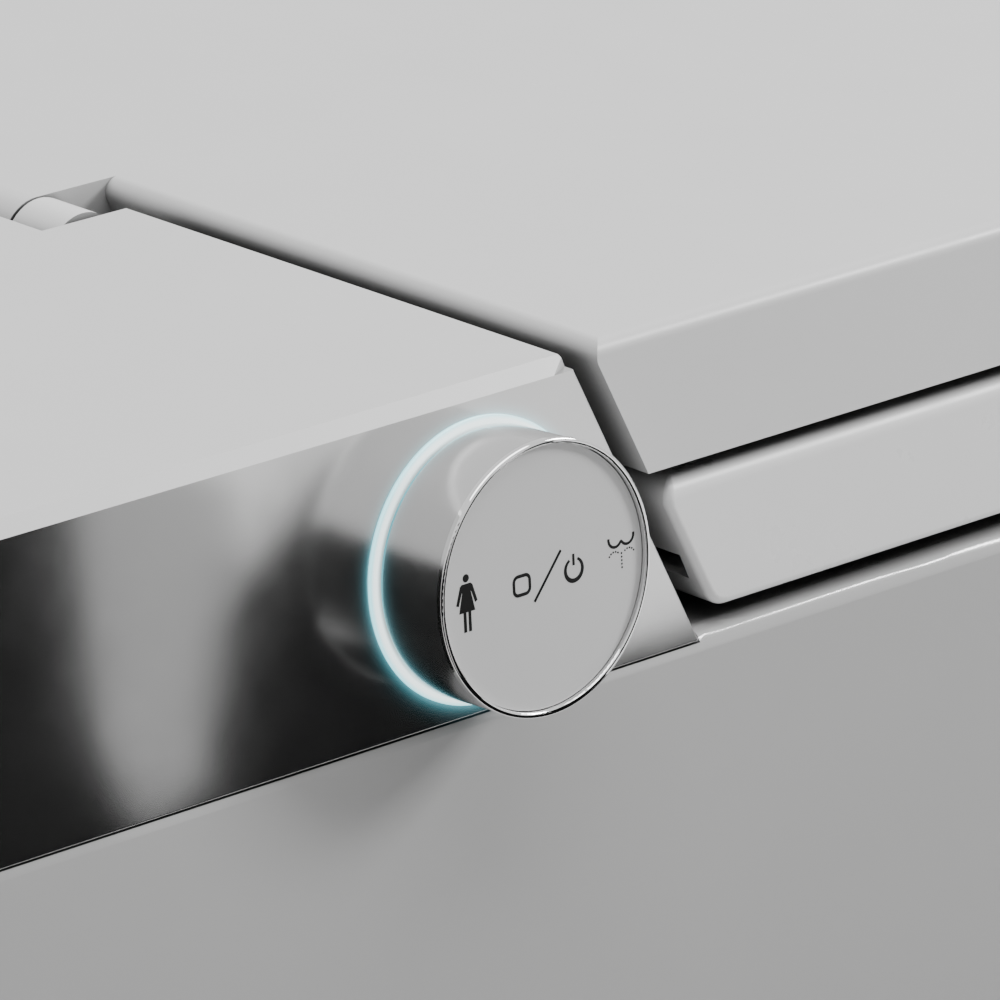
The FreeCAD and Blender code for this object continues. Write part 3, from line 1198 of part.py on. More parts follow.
def volute_x():
    return DUCT_X + VOLUTE_RADIUS - DUCT_BORE_RADIUS - DUCT_WALL - 0.4


def dryer_volute():
    """Fan scroll with its tangential outlet, on three posts."""
    x, low = volute_x(), DUCT_TOP_Z - VOLUTE_HEIGHT / 2
    wall = 2.0
    half = DUCT_BORE_RADIUS + DUCT_WALL
    scroll = rod(VOLUTE_RADIUS, vec(x, VOLUTE_Y, low), vec(0, 0, 1), VOLUTE_HEIGHT)
    outlet = box(DUCT_X - half, DUCT_X + half, VOLUTE_Y - VOLUTE_RADIUS, VOLUTE_Y, DUCT_TOP_Z - half,
                 DUCT_TOP_Z + half)
    posts = []
    for index in range(3):
        angle = math.radians(90 + 120 * index)
        posts.append(rod(4.0, vec(x + 34 * math.cos(angle), VOLUTE_Y + 34 * math.sin(angle), CHASSIS_TOP),
                         vec(0, 0, 1), low - CHASSIS_TOP + 1))
    shell = scroll.fuse([outlet] + posts)
    room = rod(VOLUTE_RADIUS - wall, vec(x, VOLUTE_Y, low + wall), vec(0, 0, 1), VOLUTE_HEIGHT - 2 * wall)
    throat = rod(DUCT_BORE_RADIUS, vec(DUCT_X, VOLUTE_Y - VOLUTE_RADIUS - 1, DUCT_TOP_Z), vec(0, 1, 0),
                 VOLUTE_RADIUS)
    intake = rod(18.0, vec(x, VOLUTE_Y, low - 1), vec(0, 0, 1), wall + 2)
    shaft_hole = rod(FAN_SHAFT_RADIUS + FIT_GAP, vec(x, VOLUTE_Y, low), vec(0, 0, 1), VOLUTE_HEIGHT + 2)
    return shell.cut([room, throat, intake, shaft_hole])


def fan_shaft_top():
    return DUCT_TOP_Z + VOLUTE_HEIGHT / 2 + 10.0


def dryer_impeller():
    x, low = volute_x(), DUCT_TOP_Z - VOLUTE_HEIGHT / 2 + 3.5
    disc_z = DUCT_TOP_Z + VOLUTE_HEIGHT / 2 - 5.0
    disc = rod(FAN_RADIUS, vec(x, VOLUTE_Y, disc_z), vec(0, 0, 1), 1.5)
    shaft = rod(FAN_SHAFT_RADIUS, vec(x, VOLUTE_Y, disc_z - 8), vec(0, 0, 1), fan_shaft_top() - disc_z + 8)
    hub = rod(7.0, vec(x, VOLUTE_Y, disc_z - 8), vec(0, 0, 1), 8.5)
    blades = []
    for index in range(FAN_BLADES):
        blade = box(FAN_RADIUS - 9, FAN_RADIUS - 0.6, -0.6, 0.6, low, disc_z + 0.5)
        blade.rotate(vec(FAN_RADIUS - 5, 0, 0), vec(0, 0, 1), 35)
        blade.translate(vec(x, VOLUTE_Y, 0))
        blade.rotate(vec(x, VOLUTE_Y, 0), vec(0, 0, 1), 360.0 * index / FAN_BLADES)
        blades.append(blade)
    return disc.fuse([shaft, hub] + blades)


def dryer_motor():
    base = DUCT_TOP_Z + VOLUTE_HEIGHT / 2
    x = volute_x()
    can = rod(17.0, vec(x, VOLUTE_Y, base), vec(0, 0, 1), 18.0)
    can = can.makeFillet(2.0, [edge for edge in can.Edges if edge.BoundBox.ZMin > base + 17.9])
    return can.cut(rod(FAN_SHAFT_RADIUS + RUNNING_CLEARANCE, vec(x, VOLUTE_Y, base - 1), vec(0, 0, 1), 12.0))


def dryer_flap():
    """Outlet flap, hung from its top edge on two stub pins."""
    x_low, x_high = DUCT_X - FLAP_HALF_WIDTH, DUCT_X + FLAP_HALF_WIDTH
    back = NOSE_BAY_FRONT_Y - FIT_GAP
    leaf = box(x_low, x_high, back - FLAP_THICKNESS, back, FLAP_PIVOT_Z - FLAP_HEIGHT, FLAP_PIVOT_Z)
    knuckle = rod(FLAP_KNUCKLE_RADIUS, vec(x_low, FLAP_PIVOT_Y, FLAP_PIVOT_Z), vec(1, 0, 0), x_high - x_low)
    pin = rod(FLAP_PIN_RADIUS, vec(x_low - FLAP_EAR, FLAP_PIVOT_Y, FLAP_PIVOT_Z), vec(1, 0, 0),
              x_high - x_low + 2 * FLAP_EAR)
    return leaf.fuse([knuckle, pin]).removeSplitter()


# ---- Water, flush and electrical pieces --------------------------------------------------
def inlet_fitting():
    """Threaded inlet, with a hexagon against the back panel."""
    base = vec(INLET_X, REAR_Y, INLET_Z)
    corners = []
    for index in range(6):
        angle = index * math.pi / 3
        corners.append(vec(INLET_X + 14.0 * math.cos(angle), REAR_Y, INLET_Z + 14.0 * math.sin(angle)))
    hexagon = Part.Face(polygon(corners)).extrude(vec(0, 3.0, 0))
    thread = rod(INLET_THREAD_RADIUS, base, vec(0, 1, 0), 3.0 + INLET_THREAD_LENGTH)
    tail = rod(INLET_BODY_RADIUS, vec(INLET_X, VALVE_REAR_Y, INLET_Z), vec(0, 1, 0), REAR_Y - VALVE_REAR_Y)
    bore = rod(INLET_BORE_RADIUS, vec(INLET_X, VALVE_REAR_Y - 1, INLET_Z), vec(0, 1, 0), 60.0)
    return hexagon.fuse([thread, tail]).removeSplitter().cut(bore)


def inlet_filter():
    """Fine strainer cup that sits in the inlet's bore."""
    start = REAR_Y - 2.0
    cup = rod(INLET_BORE_RADIUS - FIT_GAP / 3, vec(INLET_X, start, INLET_Z), vec(0, 1, 0), 17.0)
    room = rod(INLET_BORE_RADIUS - 1.3, vec(INLET_X, start + 1.2, INLET_Z), vec(0, 1, 0), 17.0)
    return cup.cut(room)


def solenoid_valve():
    body = rounded_box(INLET_X - 16, INLET_X + 16, 238.0, VALVE_REAR_Y, CHASSIS_TOP, INLET_Z + 14, 4.0)
    coil = rod(10.0, vec(INLET_X, 252.0, INLET_Z + 14), vec(0, 0, 1), 17.0)
    return body.fuse(coil)


def water_heater():
    tank = rounded_box(-98.0, -40.0, 222.0, 275.0, CHASSIS_TOP, 456.0, 9.0)
    neck = rod(7.0, vec(HOSE_X, 212.0, HOSE_Z), vec(0, 1, 0), 11.0)
    return tank.fuse(neck)


def wash_selector():
    """Rotary valve that shares the warm water between the wand's jets, with its motor on top."""
    body = rod(SELECTOR_RADIUS, vec(HOSE_X, SELECTOR_Y, CHASSIS_TOP), vec(0, 0, 1), 36.0)
    motor = rod(11.0, vec(HOSE_X, SELECTOR_Y, CHASSIS_TOP + 36.0), vec(0, 0, 1), 20.0)
    return body.fuse(motor)


def water_hoses():
    """Short hoses from the valve to the heater, and from the heater to the selector."""
    start = SELECTOR_Y + SELECTOR_RADIUS
    front = sleeve(4.5, 2.5, vec(HOSE_X, start, HOSE_Z), vec(0, 1, 0), 212.0 - start)
    side = sleeve(4.5, 2.5, vec(INLET_X + 16, 250.0, HOSE_Z), vec(1, 0, 0), -98.0 - INLET_X - 16)
    return Part.makeCompound([front, side])


def air_pump():
    body = rod(15.0, vec(-92.0, 132.0, CHASSIS_TOP + 15.4), vec(0, 1, 0), 56.0)
    cradle = box(-102.0, -82.0, 140.0, 180.0, CHASSIS_TOP, CHASSIS_TOP + 10)
    return body.fuse(cradle)


def control_board():
    """Circuit board with its larger components, on four posts."""
    board = box(10.0, 105.0, 228.0, 275.0, BOARD_Z, BOARD_Z + 1.6)
    parts = []
    for x, y, width, depth, height in ((30, 240, 14, 14, 3), (60, 236, 22, 10, 12), (60, 258, 18, 12, 15),
                                       (88, 250, 10, 24, 9)):
        parts.append(box(x, x + width, y, y + depth, BOARD_Z + 1, BOARD_Z + 1.6 + height))
    for x, y in ((24, 262), (38, 264), (50, 264)):
        parts.append(rod(5.0, vec(x, y, BOARD_Z + 1), vec(0, 0, 1), 18.0))
    return board.fuse(parts)


def power_supply():
    case = rounded_box(118.0, 178.0, 196.0, 262.0, CHASSIS_TOP, 446.0, 4.0)
    grooves = [box(117.0, 179.0, y, y + 3.0, 440.0, 447.0) for y in range(202, 258, 8)]
    return case.cut(grooves)


def mains_gland():
    """Cable gland in the back panel, with its clamping nut inside."""
    flange = rod(GLAND_RADIUS + 3.5, vec(GLAND_X, REAR_Y, INLET_Z), vec(0, 1, 0), 4.0)
    barrel = rod(GLAND_RADIUS, vec(GLAND_X, REAR_Y - 12, INLET_Z), vec(0, 1, 0), 12.0)
    nut = rod(GLAND_RADIUS + 3.0, vec(GLAND_X, REAR_Y - PANEL_WALL - 4, INLET_Z), vec(0, 1, 0), 4.0)
    bore = rod(4.2, vec(GLAND_X, REAR_Y - 20, INLET_Z), vec(0, 1, 0), 30.0)
    return flange.fuse([barrel, nut]).removeSplitter().cut(bore)


def flush_tank():
    outer = rounded_box(TANK_LOW_X, TANK_HIGH_X, TANK_FRONT_Y, TANK_REAR_Y, WELL_FLOOR_Z, TANK_TOP_Z, 10.0)
    inner = rounded_box(TANK_LOW_X + TANK_WALL, TANK_HIGH_X - TANK_WALL, TANK_FRONT_Y + TANK_WALL,
                        TANK_REAR_Y - TANK_WALL, WELL_FLOOR_Z + TANK_WALL, TANK_TOP_Z + 1, 7.5)
    spout = rod(10.0, vec(TANK_LOW_X - 12, PUMP_Y, PUMP_Z), vec(1, 0, 0), 14.0)
    bore = rod(7.0, vec(TANK_LOW_X - 13, PUMP_Y, PUMP_Z), vec(1, 0, 0), 20.0)
    return outer.fuse(spout).cut([inner, bore])


def tank_cover():
    """Lid of the flush tank, moulded with its filling spout."""
    plate = rounded_box(TANK_LOW_X, TANK_HIGH_X, TANK_FRONT_Y, TANK_REAR_Y, TANK_TOP_Z, TANK_TOP_Z + 3, 10.0)
    low, high = TANK_TOP_Z - 40, CHASSIS_TOP + 18
    spout = rod(FILL_TUBE_RADIUS, vec(FILL_X, FILL_Y, low), vec(0, 0, 1), high - low)
    bore = rod(FILL_TUBE_RADIUS - 1.5, vec(FILL_X, FILL_Y, low - 1), vec(0, 0, 1), high - low + 2)
    return plate.fuse(spout).cut(bore)


def float_stem():
    stem = rod(4.0, vec(FLOAT_X, FLOAT_Y, WELL_FLOOR_Z + TANK_WALL), vec(0, 0, 1), 100.0)
    foot = rod(12.0, vec(FLOAT_X, FLOAT_Y, WELL_FLOOR_Z + TANK_WALL), vec(0, 0, 1), 3.0)
    collar = rod(7.0, vec(FLOAT_X, FLOAT_Y, WELL_FLOOR_Z + TANK_WALL + 97), vec(0, 0, 1), 3.0)
    return stem.fuse([foot, collar]).removeSplitter()


def level_float():
    ring = rod(16.0, vec(FLOAT_X, FLOAT_Y, FLOAT_REST_Z), vec(0, 0, 1), 18.0)
    ring = ring.makeFillet(3.0, [edge for edge in ring.Edges if edge.Closed])
    return ring.cut(rod(4.08, vec(FLOAT_X, FLOAT_Y, FLOAT_REST_Z - 1), vec(0, 0, 1), 20.0))


def pump_housing():
    scroll = rod(PUMP_RADIUS, vec(PUMP_X, PUMP_Y, WELL_FLOOR_Z), vec(0, 0, 1), PUMP_SCROLL)
    inlet = rod(10.0, vec(PUMP_X, PUMP_Y, PUMP_Z), vec(1, 0, 0), TANK_LOW_X - 12 - PUMP_X)
    outlet = rod(JET_RADIUS + 3, vec(JET_X, PUMP_Y - PUMP_RADIUS - 6, PUMP_Z), vec(0, 1, 0), PUMP_RADIUS + 6)
    body = scroll.fuse([inlet, outlet])
    room = rod(PUMP_RADIUS - 3, vec(PUMP_X, PUMP_Y, WELL_FLOOR_Z + 4), vec(0, 0, 1), PUMP_SCROLL - 8)
    inlet_bore = rod(7.0, vec(PUMP_X, PUMP_Y, PUMP_Z), vec(1, 0, 0), 80.0)
    outlet_bore = rod(JET_RADIUS, vec(JET_X, PUMP_Y - PUMP_RADIUS - 7, PUMP_Z), vec(0, 1, 0), PUMP_RADIUS)
    shaft_hole = rod(3.0 + RUNNING_CLEARANCE, vec(PUMP_X, PUMP_Y, WELL_FLOOR_Z), vec(0, 0, 1), PUMP_SCROLL + 1)
    shaft_hole = shaft_hole.common(box(-200, 0, 0, 300, WELL_FLOOR_Z + 10, COVER_TOP))
    return body.cut([room, inlet_bore, outlet_bore, shaft_hole])


def pump_impeller():
    low = WELL_FLOOR_Z + 4.5
    disc = rod(PUMP_RADIUS - 5, vec(PUMP_X, PUMP_Y, low + 8), vec(0, 0, 1), 2.0)
    shaft = rod(3.0, vec(PUMP_X, PUMP_Y, low + 8), vec(0, 0, 1), WELL_FLOOR_Z + PUMP_SCROLL + 10 - low - 8)
    vanes = []
    for index in range(6):
        vane = box(6.0, PUMP_RADIUS - 6, -1.0, 1.0, low + 1, low + 8.5)
        vane.rotate(vec(6, 0, 0), vec(0, 0, 1), 20)
        vane.translate(vec(PUMP_X, PUMP_Y, 0))
        vane.rotate(vec(PUMP_X, PUMP_Y, 0), vec(0, 0, 1), 60.0 * index)
        vanes.append(vane)
    return disc.fuse([shaft] + vanes)


def pump_motor():
    base = WELL_FLOOR_Z + PUMP_SCROLL
    can = rod(24.0, vec(PUMP_X, PUMP_Y, base), vec(0, 0, 1), 62.0)
    can = can.makeFillet(4.0, [edge for edge in can.Edges if edge.BoundBox.ZMin > base + 61.9])
    return can.cut(rod(3.0 + RUNNING_CLEARANCE, vec(PUMP_X, PUMP_Y, base - 1), vec(0, 0, 1), 12.0))


def flush_pipe():
    rear_y = PUMP_Y - PUMP_RADIUS - 6
    return sleeve(JET_RADIUS + 2.5, JET_RADIUS, vec(JET_X, WELL_FRONT_Y, PUMP_Z), vec(0, 1, 0),
                  rear_y - WELL_FRONT_Y)


# ---- Pieces and their files --------------------------------------------------------------
PIECES = {
    "ceramic_bowl": ceramic_bowl,
    "fixing_caps": fixing_caps,
    "rear_chassis": rear_chassis,
    "chassis_gaskets": chassis_gaskets,
    "housing_cover": housing_cover,
    "side_panel_knob": side_panel_knob,
    "side_panel_plain": side_panel_plain,
    "back_panel": back_panel,
    "back_screws": back_screws,
    "front_apron": front_apron,
    "hinge_brackets": hinge_brackets,
    "hinge_pins": lambda: both_sides(hinge_pin()),
    "hinge_bushings": hinge_bushings,
    "hinge_dampers": lambda: both_sides(damper()),
    "lid_shell": lid_shell,
    "lid_panel": lid_panel,
    "lid_bumpers": lambda: bumpers(LID_BUMPERS, SEAT_TOP, LID_BOTTOM),
    "seat_shell": seat_shell,
    "seat_base": seat_base,
    "seat_heater": seat_heater,
    "seat_bumpers": lambda: bumpers(SEAT_BUMPERS, RIM_TOP, SEAT_BOTTOM),
    "knob_skirt": knob_skirt,
    "knob_bezel": knob_bezel,
    "knob_face": knob_face,
    "knob_shaft": knob_shaft,
    "knob_plunger": knob_plunger,
    "knob_bushing": knob_bushing,
    "encoder_housing": encoder_housing,
    "press_switch": press_switch,
    "light_ring": light_ring,
    "ring_light_board": ring_light_board,
    "wand_guide": wand_guide,
    "wand_tube": wand_tube,
    "wand_tip": wand_tip,
    "wand_pinion": pinion,
    "wand_motor": wand_motor,
    "dryer_duct": dryer_duct,
    "dryer_heater": dryer_heater,
    "dryer_volute": dryer_volute,
    "dryer_impeller": dryer_impeller,
    "dryer_motor": dryer_motor,
    "dryer_flap": dryer_flap,
    "inlet_fitting": inlet_fitting,
    "inlet_filter": inlet_filter,
    "solenoid_valve": solenoid_valve,
    "water_heater": water_heater,
    "wash_selector": wash_selector,
    "water_hoses": water_hoses,
    "air_pump": air_pump,
    "control_board": control_board,
    "power_supply": power_supply,
    "mains_gland": mains_gland,
    "flush_tank": flush_tank,
    "tank_cover": tank_cover,
    "float_stem": float_stem,
    "level_float": level_float,
    "pump_housing": pump_housing,
    "pump_impeller": pump_impeller,
    "pump_motor": pump_motor,
    "flush_pipe": flush_pipe,
}

for name, make in PIECES.items():
    shape = make()
    solids = shape.Solids
    piece = solids[0] if len(solids) == 1 else Part.makeCompound(solids)
    print(name, len(solids), piece.isValid(), round(piece.Volume / 1000.0, 2))
    piece.exportStep("parts/" + name + ".step")
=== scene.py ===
"""Looks of a smart toilet with a heated seat: finishes, printed symbols, light and camera."""
import json
import math

import bmesh
import bpy
from mathutils import Matrix, Vector


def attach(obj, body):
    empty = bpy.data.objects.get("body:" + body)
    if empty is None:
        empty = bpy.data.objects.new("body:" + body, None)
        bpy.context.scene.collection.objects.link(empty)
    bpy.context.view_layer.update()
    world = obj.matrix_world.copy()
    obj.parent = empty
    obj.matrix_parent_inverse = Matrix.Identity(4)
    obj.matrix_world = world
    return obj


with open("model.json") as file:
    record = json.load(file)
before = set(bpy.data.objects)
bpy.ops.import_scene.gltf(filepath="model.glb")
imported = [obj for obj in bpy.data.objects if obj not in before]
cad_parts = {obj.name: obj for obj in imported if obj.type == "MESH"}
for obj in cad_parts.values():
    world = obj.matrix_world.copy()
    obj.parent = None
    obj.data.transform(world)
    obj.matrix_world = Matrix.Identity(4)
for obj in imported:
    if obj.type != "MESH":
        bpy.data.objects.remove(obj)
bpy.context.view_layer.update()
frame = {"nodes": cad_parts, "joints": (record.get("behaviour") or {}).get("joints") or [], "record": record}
NODES = frame["nodes"]
SLOT_OF = {part["node"]: part["material_slot"] for part in frame["record"]["subparts"]}
MM = 0.001

# --- the camera of the photograph, solved from its parallel edges ---
LENS_MM = 318.6                       # on a 36 mm sensor
SENSOR_MM = 36.0
FRAME_PX = 1000
FOCAL_PX = LENS_MM / SENSOR_MM * FRAME_PX
LOOK = Vector((0.6915, -0.6419, -0.3315))
RIGHT = Vector((-0.6803, -0.7329, 0.0))
UP = Vector((0.2430, -0.2255, 0.9435))
KNOB_DISTANCE = 1.8489                # from the camera to the middle of the knob's face
KNOB_PIXEL = (547.5, 578.5)           # where that middle lies in the picture

# --- the knob, from its joint in the frame ---
TURN_JOINT = next(j for j in frame["joints"] if j["name"] == "knob_turn")
KNOB_OUT = Vector(TURN_JOINT["axis"]).normalized()
KNOB_FOOT = Vector(TURN_JOINT["pos_m"])
KNOB_REACH = 21 * MM
FACE_RECESS = 1.4 * MM
RING_INNER = 28.4 * MM                # the light ring's edges
RING_OUTER = 31.2 * MM
KNOB_FRONT = Vector((0.0, -1.0, 0.0))  # the way the symbols read: from rear to front
KNOB_UP = KNOB_OUT.cross(KNOB_FRONT).normalized()
if KNOB_UP.z < 0:
    KNOB_UP.negate()


# ------------------------------------------------------------------ materials
def new_material(name):
    """An empty node material with its shader; returns the material, its nodes, links and shader."""
    material = bpy.data.materials.new(name)
    material.use_nodes = True
    tree = material.node_tree
    return material, tree.nodes, tree.links, tree.nodes["Principled BSDF"]


def place(nodes, scale=(1.0, 1.0, 1.0)):
    """Object coordinates, stretched by scale: they ride with the piece."""
    coordinates = nodes.new("ShaderNodeTexCoord")
    mapping = nodes.new("ShaderNodeMapping")
    mapping.inputs["Scale"].default_value = scale
    mapping.id_data.links.new(coordinates.outputs["Object"], mapping.inputs["Vector"])
    return mapping.outputs["Vector"]


def noise(nodes, links, where, size, detail=4.0, roughness=0.55):
    """Noise whose blotches are about size metres wide."""
    node = nodes.new("ShaderNodeTexNoise")
    node.inputs["Scale"].default_value = 1.0 / size
    node.inputs["Detail"].default_value = detail
    node.inputs["Roughness"].default_value = roughness
    links.new(where, node.inputs["Vector"])
    return node.outputs["Fac"]


def spread(nodes, links, value, low, high, start=0.3, stop=0.7):
    """The value's middle range spread over low to high."""
    node = nodes.new("ShaderNodeMapRange")
    node.inputs["From Min"].default_value = start
    node.inputs["From Max"].default_value = stop
    node.inputs["To Min"].default_value = low
    node.inputs["To Max"].default_value = high
    links.new(value, node.inputs["Value"])
    return node.outputs["Result"]


def two_tone(nodes, links, factor, first, second):
    """A mix of two colours."""
    node = nodes.new("ShaderNodeMix")
    node.data_type = "RGBA"
    node.inputs["A"].default_value = (*first, 1.0)
    node.inputs["B"].default_value = (*second, 1.0)
    links.new(factor, node.inputs["Factor"])
    return node.outputs["Result"]


def bump(nodes, links, height, depth, strength=1.0, below=None):
    """A bump of the given depth in metres, over another one if below is given."""
    node = nodes.new("ShaderNodeBump")
    node.inputs["Strength"].default_value = strength
    node.inputs["Distance"].default_value = depth
    links.new(height, node.inputs["Height"])
    if below is not None:
        links.new(below, node.inputs["Normal"])
    return node.outputs["Normal"]


def grey(level, warmth=0.0):
    """A near-neutral colour: warmth above 0 turns it warmer."""
    return (level * (1 + warmth), level, level * (1 - warmth))


def painted_gap_shade(nodes, links, colour, reach, depth):
    """The colour, darker where neighbouring surfaces come within reach: painted shade in the gaps."""
    open_share = nodes.new("ShaderNodeAmbientOcclusion")
    open_share.inputs["Distance"].default_value = reach
    open_share.samples = 8
    keep = spread(nodes, links, open_share.outputs["AO"], 1.0 - depth, 1.0, 0.25, 0.85)
    node = nodes.new("ShaderNodeMix")
    node.data_type = "RGBA"
    node.blend_type = "MULTIPLY"
    node.inputs["Factor"].default_value = 1.0
    links.new(colour, node.inputs["A"])
    links.new(keep, node.inputs["B"])
    return node.outputs["Result"]


def finish_of(name, tones, roughness, grain, depth, metallic=0.0, coat=0.0, coat_roughness=0.05,
              blotch=40 * MM, stretch=(1.0, 1.0, 1.0), specular=0.5, wave=None, gap_shade=None):
    """A moulded, glazed or metal finish: two close tones in soft blotches, uneven roughness, fine grain,
    the long soft unevenness of a glaze or a moulding where wave is given as (size, depth), and painted
    shade in the gaps where a reach and a depth are given for it."""
    material, nodes, links, shader = new_material(name)
    where = place(nodes)
    colour = two_tone(nodes, links, noise(nodes, links, where, blotch), *tones)
    if gap_shade:
        colour = painted_gap_shade(nodes, links, colour, *gap_shade)
    links.new(colour, shader.inputs["Base Color"])
    shine = spread(nodes, links, noise(nodes, links, where, blotch * 0.4, 6.0), *roughness)
    links.new(shine, shader.inputs["Roughness"])
    below = None
    if wave:
        below = bump(nodes, links, noise(nodes, links, where, wave[0], 2.0), wave[1])
    grained = noise(nodes, links, place(nodes, stretch), grain, 3.0)
    links.new(bump(nodes, links, grained, depth, below=below), shader.inputs["Normal"])
    shader.inputs["Metallic"].default_value = metallic
    shader.inputs["Specular IOR Level"].default_value = specular
    shader.inputs["Coat Weight"].default_value = coat
    shader.inputs["Coat Roughness"].default_value = coat_roughness
    return material


def radius_from_axis(nodes, links):
    """How far a point lies from the knob's axis."""
    where = nodes.new("ShaderNodeTexCoord")
    from_foot = nodes.new("ShaderNodeVectorMath")
    from_foot.operation = "SUBTRACT"
    from_foot.inputs[1].default_value = KNOB_FOOT
    links.new(where.outputs["Object"], from_foot.inputs[0])
    across = nodes.new("ShaderNodeVectorMath")
    across.operation = "CROSS_PRODUCT"
    across.inputs[1].default_value = KNOB_OUT
    links.new(from_foot.outputs["Vector"], across.inputs[0])
    radius = nodes.new("ShaderNodeVectorMath")
    radius.operation = "LENGTH"
    links.new(across.outputs["Vector"], radius.inputs[0])
    return radius.outputs["Value"]


def calculate(nodes, links, operation, first, second):
    """One Math node; each input is a socket or a number."""
    node = nodes.new("ShaderNodeMath")
    node.operation = operation
    for socket, value in zip(node.inputs, (first, second)):
        if isinstance(value, (int, float)):
            socket.default_value = value
        else:
            links.new(value, socket)
    return node.outputs["Value"]


DIM_SHARE = 0.2                       # how bright the ring's inner edge is against its line of light


def glowing(name, core, halo, strength):
    """The light ring's diffuser: a white line of light, coloured at its outer edge and dim inside."""
    material, nodes, links, shader = new_material(name)
    radius = radius_from_axis(nodes, links)
    edge = spread(nodes, links, radius, 0.0, 1.0, RING_OUTER - 0.9 * MM, RING_OUTER)
    links.new(two_tone(nodes, links, edge, core, halo), shader.inputs["Emission Color"])
    line = spread(nodes, links, radius, DIM_SHARE * strength, strength, RING_INNER + 0.3 * MM,
                  RING_INNER + 1.1 * MM)
    links.new(line, shader.inputs["Emission Strength"])
    shader.inputs["Base Color"].default_value = (*core, 1.0)
    mottled = noise(nodes, links, place(nodes), 0.4 * MM)
    links.new(spread(nodes, links, mottled, 0.25, 0.45), shader.inputs["Roughness"])
    links.new(bump(nodes, links, mottled, 0.02 * MM), shader.inputs["Normal"])
    return material


PAINTED_GLOW_REACH = 1.0 * MM                 # the painted glow on the panel falls to a third over this distance
PAINTED_GLOW_STRENGTH = 0.60                  # of the painted glow beside the ring


def add_painted_ring_glow(material, colour):
    """A painted glow: emission in the panel's own material around the ring, where the ring's light would
    fall.
    """
    nodes, links = material.node_tree.nodes, material.node_tree.links
    shader = nodes["Principled BSDF"]
    outside = calculate(nodes, links, "SUBTRACT", radius_from_axis(nodes, links), RING_OUTER)
    distance = calculate(nodes, links, "MAXIMUM", outside, 0.0)
    fall = calculate(nodes, links, "DIVIDE", distance, -PAINTED_GLOW_REACH)
    share = calculate(nodes, links, "EXPONENT", fall, 0.0)
    painted_glow = calculate(nodes, links, "MULTIPLY", share, PAINTED_GLOW_STRENGTH)
    shader.inputs["Emission Color"].default_value = (*colour, 1.0)
    links.new(painted_glow, shader.inputs["Emission Strength"])
    return material


PANEL_FINISH = {
    "tones": (grey(0.70), grey(0.74, 0.003)),
    "roughness": (0.16, 0.20),
    "grain": 0.30 * MM,
    "depth": 0.002 * MM,
    "metallic": 0.99,
}
# colour of the glow painted on the panel around the ring
PAINTED_GLOW_COLOUR = (0.22, 0.80, 0.95)
# painted shade in the gaps of the shells and the ceramic
PAINTED_GAP_SHADE = (14 * MM, 0.8)             # how near a neighbour darkens a surface, and by how much at most


